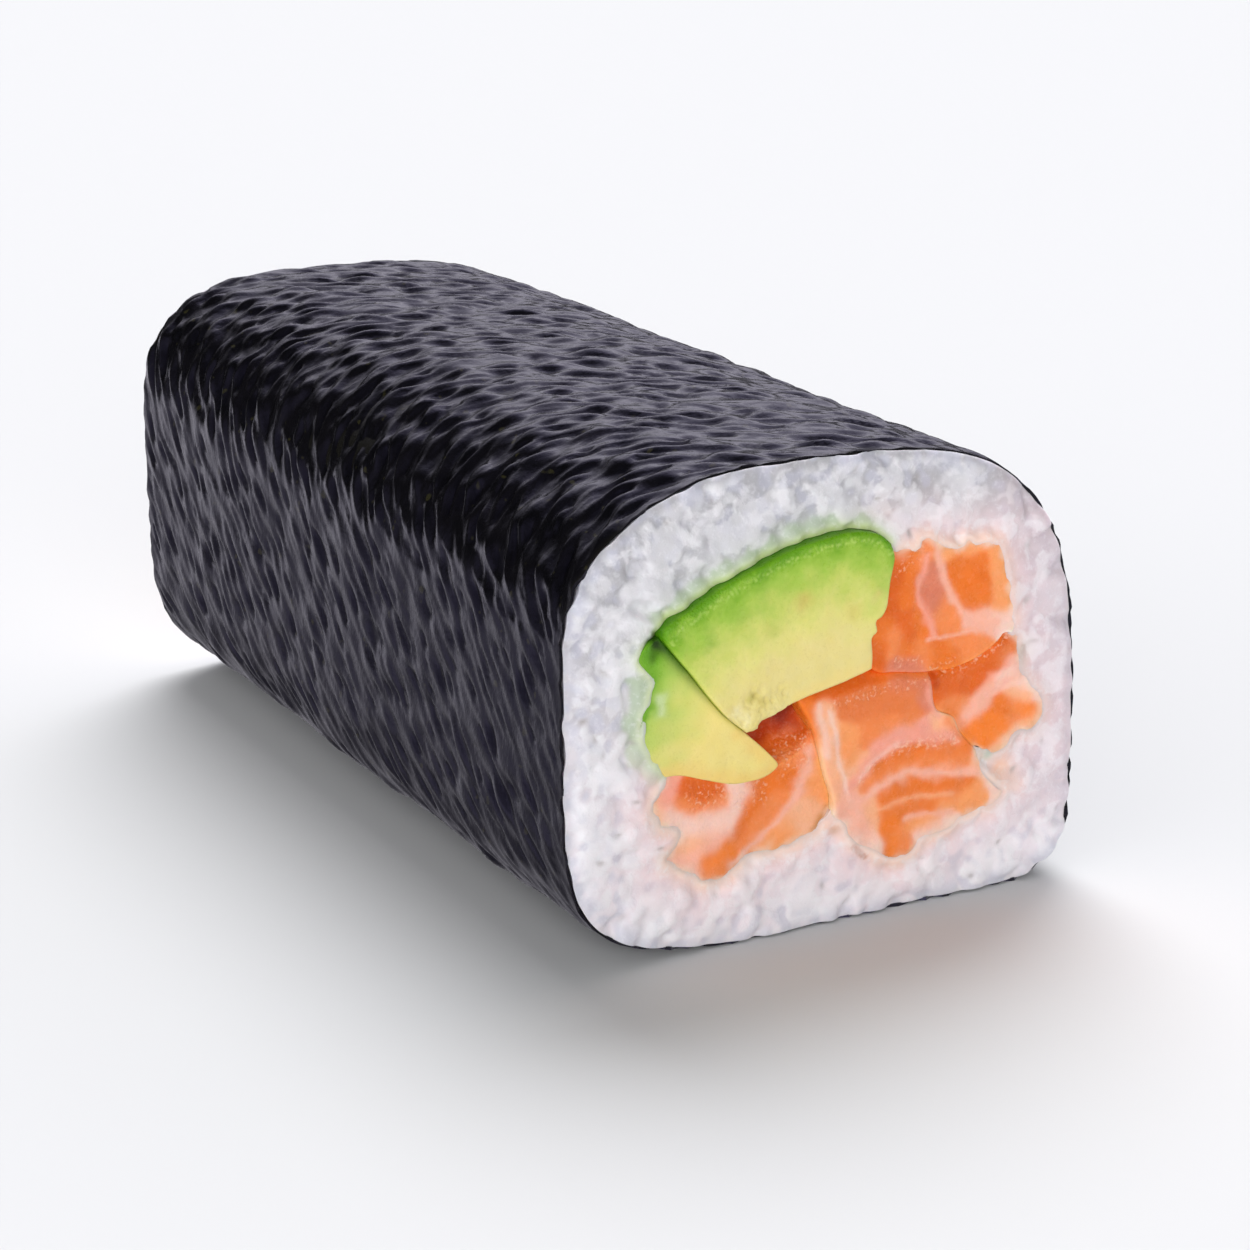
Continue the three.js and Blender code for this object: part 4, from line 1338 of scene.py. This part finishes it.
def rice_paint(points, side, height, tone, bead, clump, to_nori, pit):
    """The rice's colour: white and clearer grains, tinted by the filling next to them, with painted light low
    down and painted shade in its hollows, pits, crevice and on its right.
    """
    own = points if side == FRONT else undrift(points)
    cloud = CLOUD(points + 11 * side)
    to_green = np.minimum(to_borders(own, ["avocadoRim"]), to_borders(own, ["wedgeRim"]) + 0.4)
    to_pink = to_borders(own, SALMON_RIMS)
    apart = smoothstep(0.3, 2.0, to_green)
    colour = layered(
        linear((188, 187, 191)),
        # Lighter towards the bottom: painted light against the shade near the floor.
        ((240, 231, 236), smoothstep(36, 3, points[:, 1])),
        ((203, 203, 217), 0.65 * smoothstep(0.1, 1.0, -0.8 * tone - 0.5 * cloud)),
        ((241, 240, 243), np.maximum(0.6 * clump, 0.6 * smoothstep(0.2, 0.9, tone + 0.2 * cloud))),
    )
    colour *= (1 - 0.12 * smoothstep(26, 38, points[:, 1]))[:, None]
    clear = smoothstep(2.2, 0.4, to_nori) * smoothstep(-0.5, 0.6, tone)
    bead_shown = bead * smoothstep(-0.3, 0.1, height) * smoothstep(0.3, 0.9, to_green)
    return layered(
        colour,
        ((198, 199, 213), 0.7 * clear),
        # Darker where the rice lies deep below the cut: painted shade in the hollows, and the greyer look of
        # grains seen deeper.
        ((190, 184, 188), 0.7 * smoothstep(-0.35, -1.5, height)),
        ((208, 217, 192), 0.7 * np.exp(-((to_green / 1.5) ** 2))),
        ((178, 194, 166), 0.85 * bead_shown),
        ((204, 222, 130), 0.8 * np.exp(-((to_green / 0.6) ** 2))),
        ((243, 212, 213), 0.7 * apart * np.exp(-((to_pink / 3.0) ** 2))),
        ((252, 214, 194), 0.8 * apart * np.exp(-((to_pink / 0.85) ** 2))),
        # A greyer pink on the right of the cut, above its lowest part: painted shade on that side.
        ((212, 190, 196), 0.55 * smoothstep(13, 21, own[:, 0]) * smoothstep(3, 8, own[:, 1])),
        *spots_on(own, RICE_SPOTS),
        ((196, 134, 100), 0.7 * stroke(own, [(2.2, 6.6), (3.4, 5.4)], 0.2, 0.3)),
        # The crevice is painted dark green: painted shade in the gap.
        ((40, 62, 14), np.clip(1.2 * in_crevice(points, side, 0.8), 0, 1)),
        # The torn pits are painted greyer: painted shade in the small hollows.
        ((168, 160, 156), 0.75 * pit),
    )


# ---------------------------------------------------------------- the studio

FLOOR_REACH = 6.0  # in metres, as all of the studio
SUN_DISTANCE = 2


def make_studio():
    scene = bpy.context.scene
    scene.view_settings.view_transform = "Standard"

    def place(name, data):
        holder = bpy.data.objects.new(name, data)
        scene.collection.objects.link(holder)
        return holder

    floor_mesh = bpy.data.meshes.new("floor")
    corners = [(x * FLOOR_REACH, y * FLOOR_REACH, 0) for x, y in ((-1, -1), (1, -1), (1, 1), (-1, 1))]
    floor_mesh.from_pydata(corners, [], [(0, 1, 2, 3)])
    floor = place("floor", floor_mesh)
    floor.visible_glossy = False
    s = Shader("floor")
    s.set(Base_Color=(0.645, 0.652, 0.654, 1.0), Roughness=0.9, Specular_IOR_Level=0.0)
    floor_mesh.materials.append(s.material)

    world = bpy.data.worlds.new("studio")
    scene.world = world
    world.use_nodes = True
    room = Nodes(world.node_tree)
    # The room is bright in front of the roll, and a softbox glows high behind it on the right.
    axes = room.tree.nodes.new("ShaderNodeSeparateXYZ")
    room.put(axes.inputs[0], room.add("TexCoord", "Generated", {}))
    fade = lambda axis, *limits: room.remap(axes.outputs[axis], *limits, "SMOOTHSTEP")
    glow = room.math("MULTIPLY", fade("X", -0.45, 0.6, 0, 1), fade("Z", 0.16, 0.42, 0, 1))
    glow = room.math("MULTIPLY", glow, fade("Y", -0.1, 0.4, 0, 2.45))
    front = room.math("ADD", fade("Y", -0.7, 0.3, 0.25, 0.015), fade("X", -0.95, -0.6, 0.6, 0))
    below = room.math("SUBTRACT", fade("Z", 0.06, -0.2, 0, 0.9), fade("Z", -0.15, -0.5, 0, 0.6))
    below = room.math("MULTIPLY", below, fade("X", -0.65, -0.3, 0.8, 1.3))
    background = room.tree.nodes["Background"]
    room.put(background.inputs["Strength"], room.math("ADD", room.math("ADD", front, glow), below))
    tint = room.mix(fade("Y", -0.3, 0.3, 0, 1), (1, 1, 1, 1), (0.92, 0.89, 1.0, 1))
    room.put(background.inputs["Color"], tint)

    def sun(name, direction, power, width):
        light = bpy.data.lights.new(name, "SUN")
        light.energy = power
        light.angle = math.radians(width)
        holder = place(name, light)
        away = Vector(direction).normalized()
        holder.location = away * SUN_DISTANCE
        holder.rotation_mode = "QUATERNION"
        holder.rotation_quaternion = away.to_track_quat("Z", "Y")
        return holder

    sun("key", (-0.40, -0.90, 0.17), 2.02, 50)
    back = sun("back", (0.28, 0.54, 0.80), 2.8, 40)
    fill = sun("fill", (-0.85, -0.1, 0.5), 0.7, 70)
    back.visible_glossy = fill.visible_glossy = False

    camera = bpy.data.cameras.new("camera")
    camera.lens = 90.16
    camera.sensor_width = 36
    camera.clip_start, camera.clip_end = 0.01, 50
    holder = place("camera", camera)
    holder.location = (-0.13166, -0.24887, 0.10336)
    holder.rotation_euler = (math.radians(72.34), 0, math.radians(-28.90))
    scene.camera = holder


make_nori()
make_fillings()
make_rice()
make_studio()

bpy.context.view_layer.update()
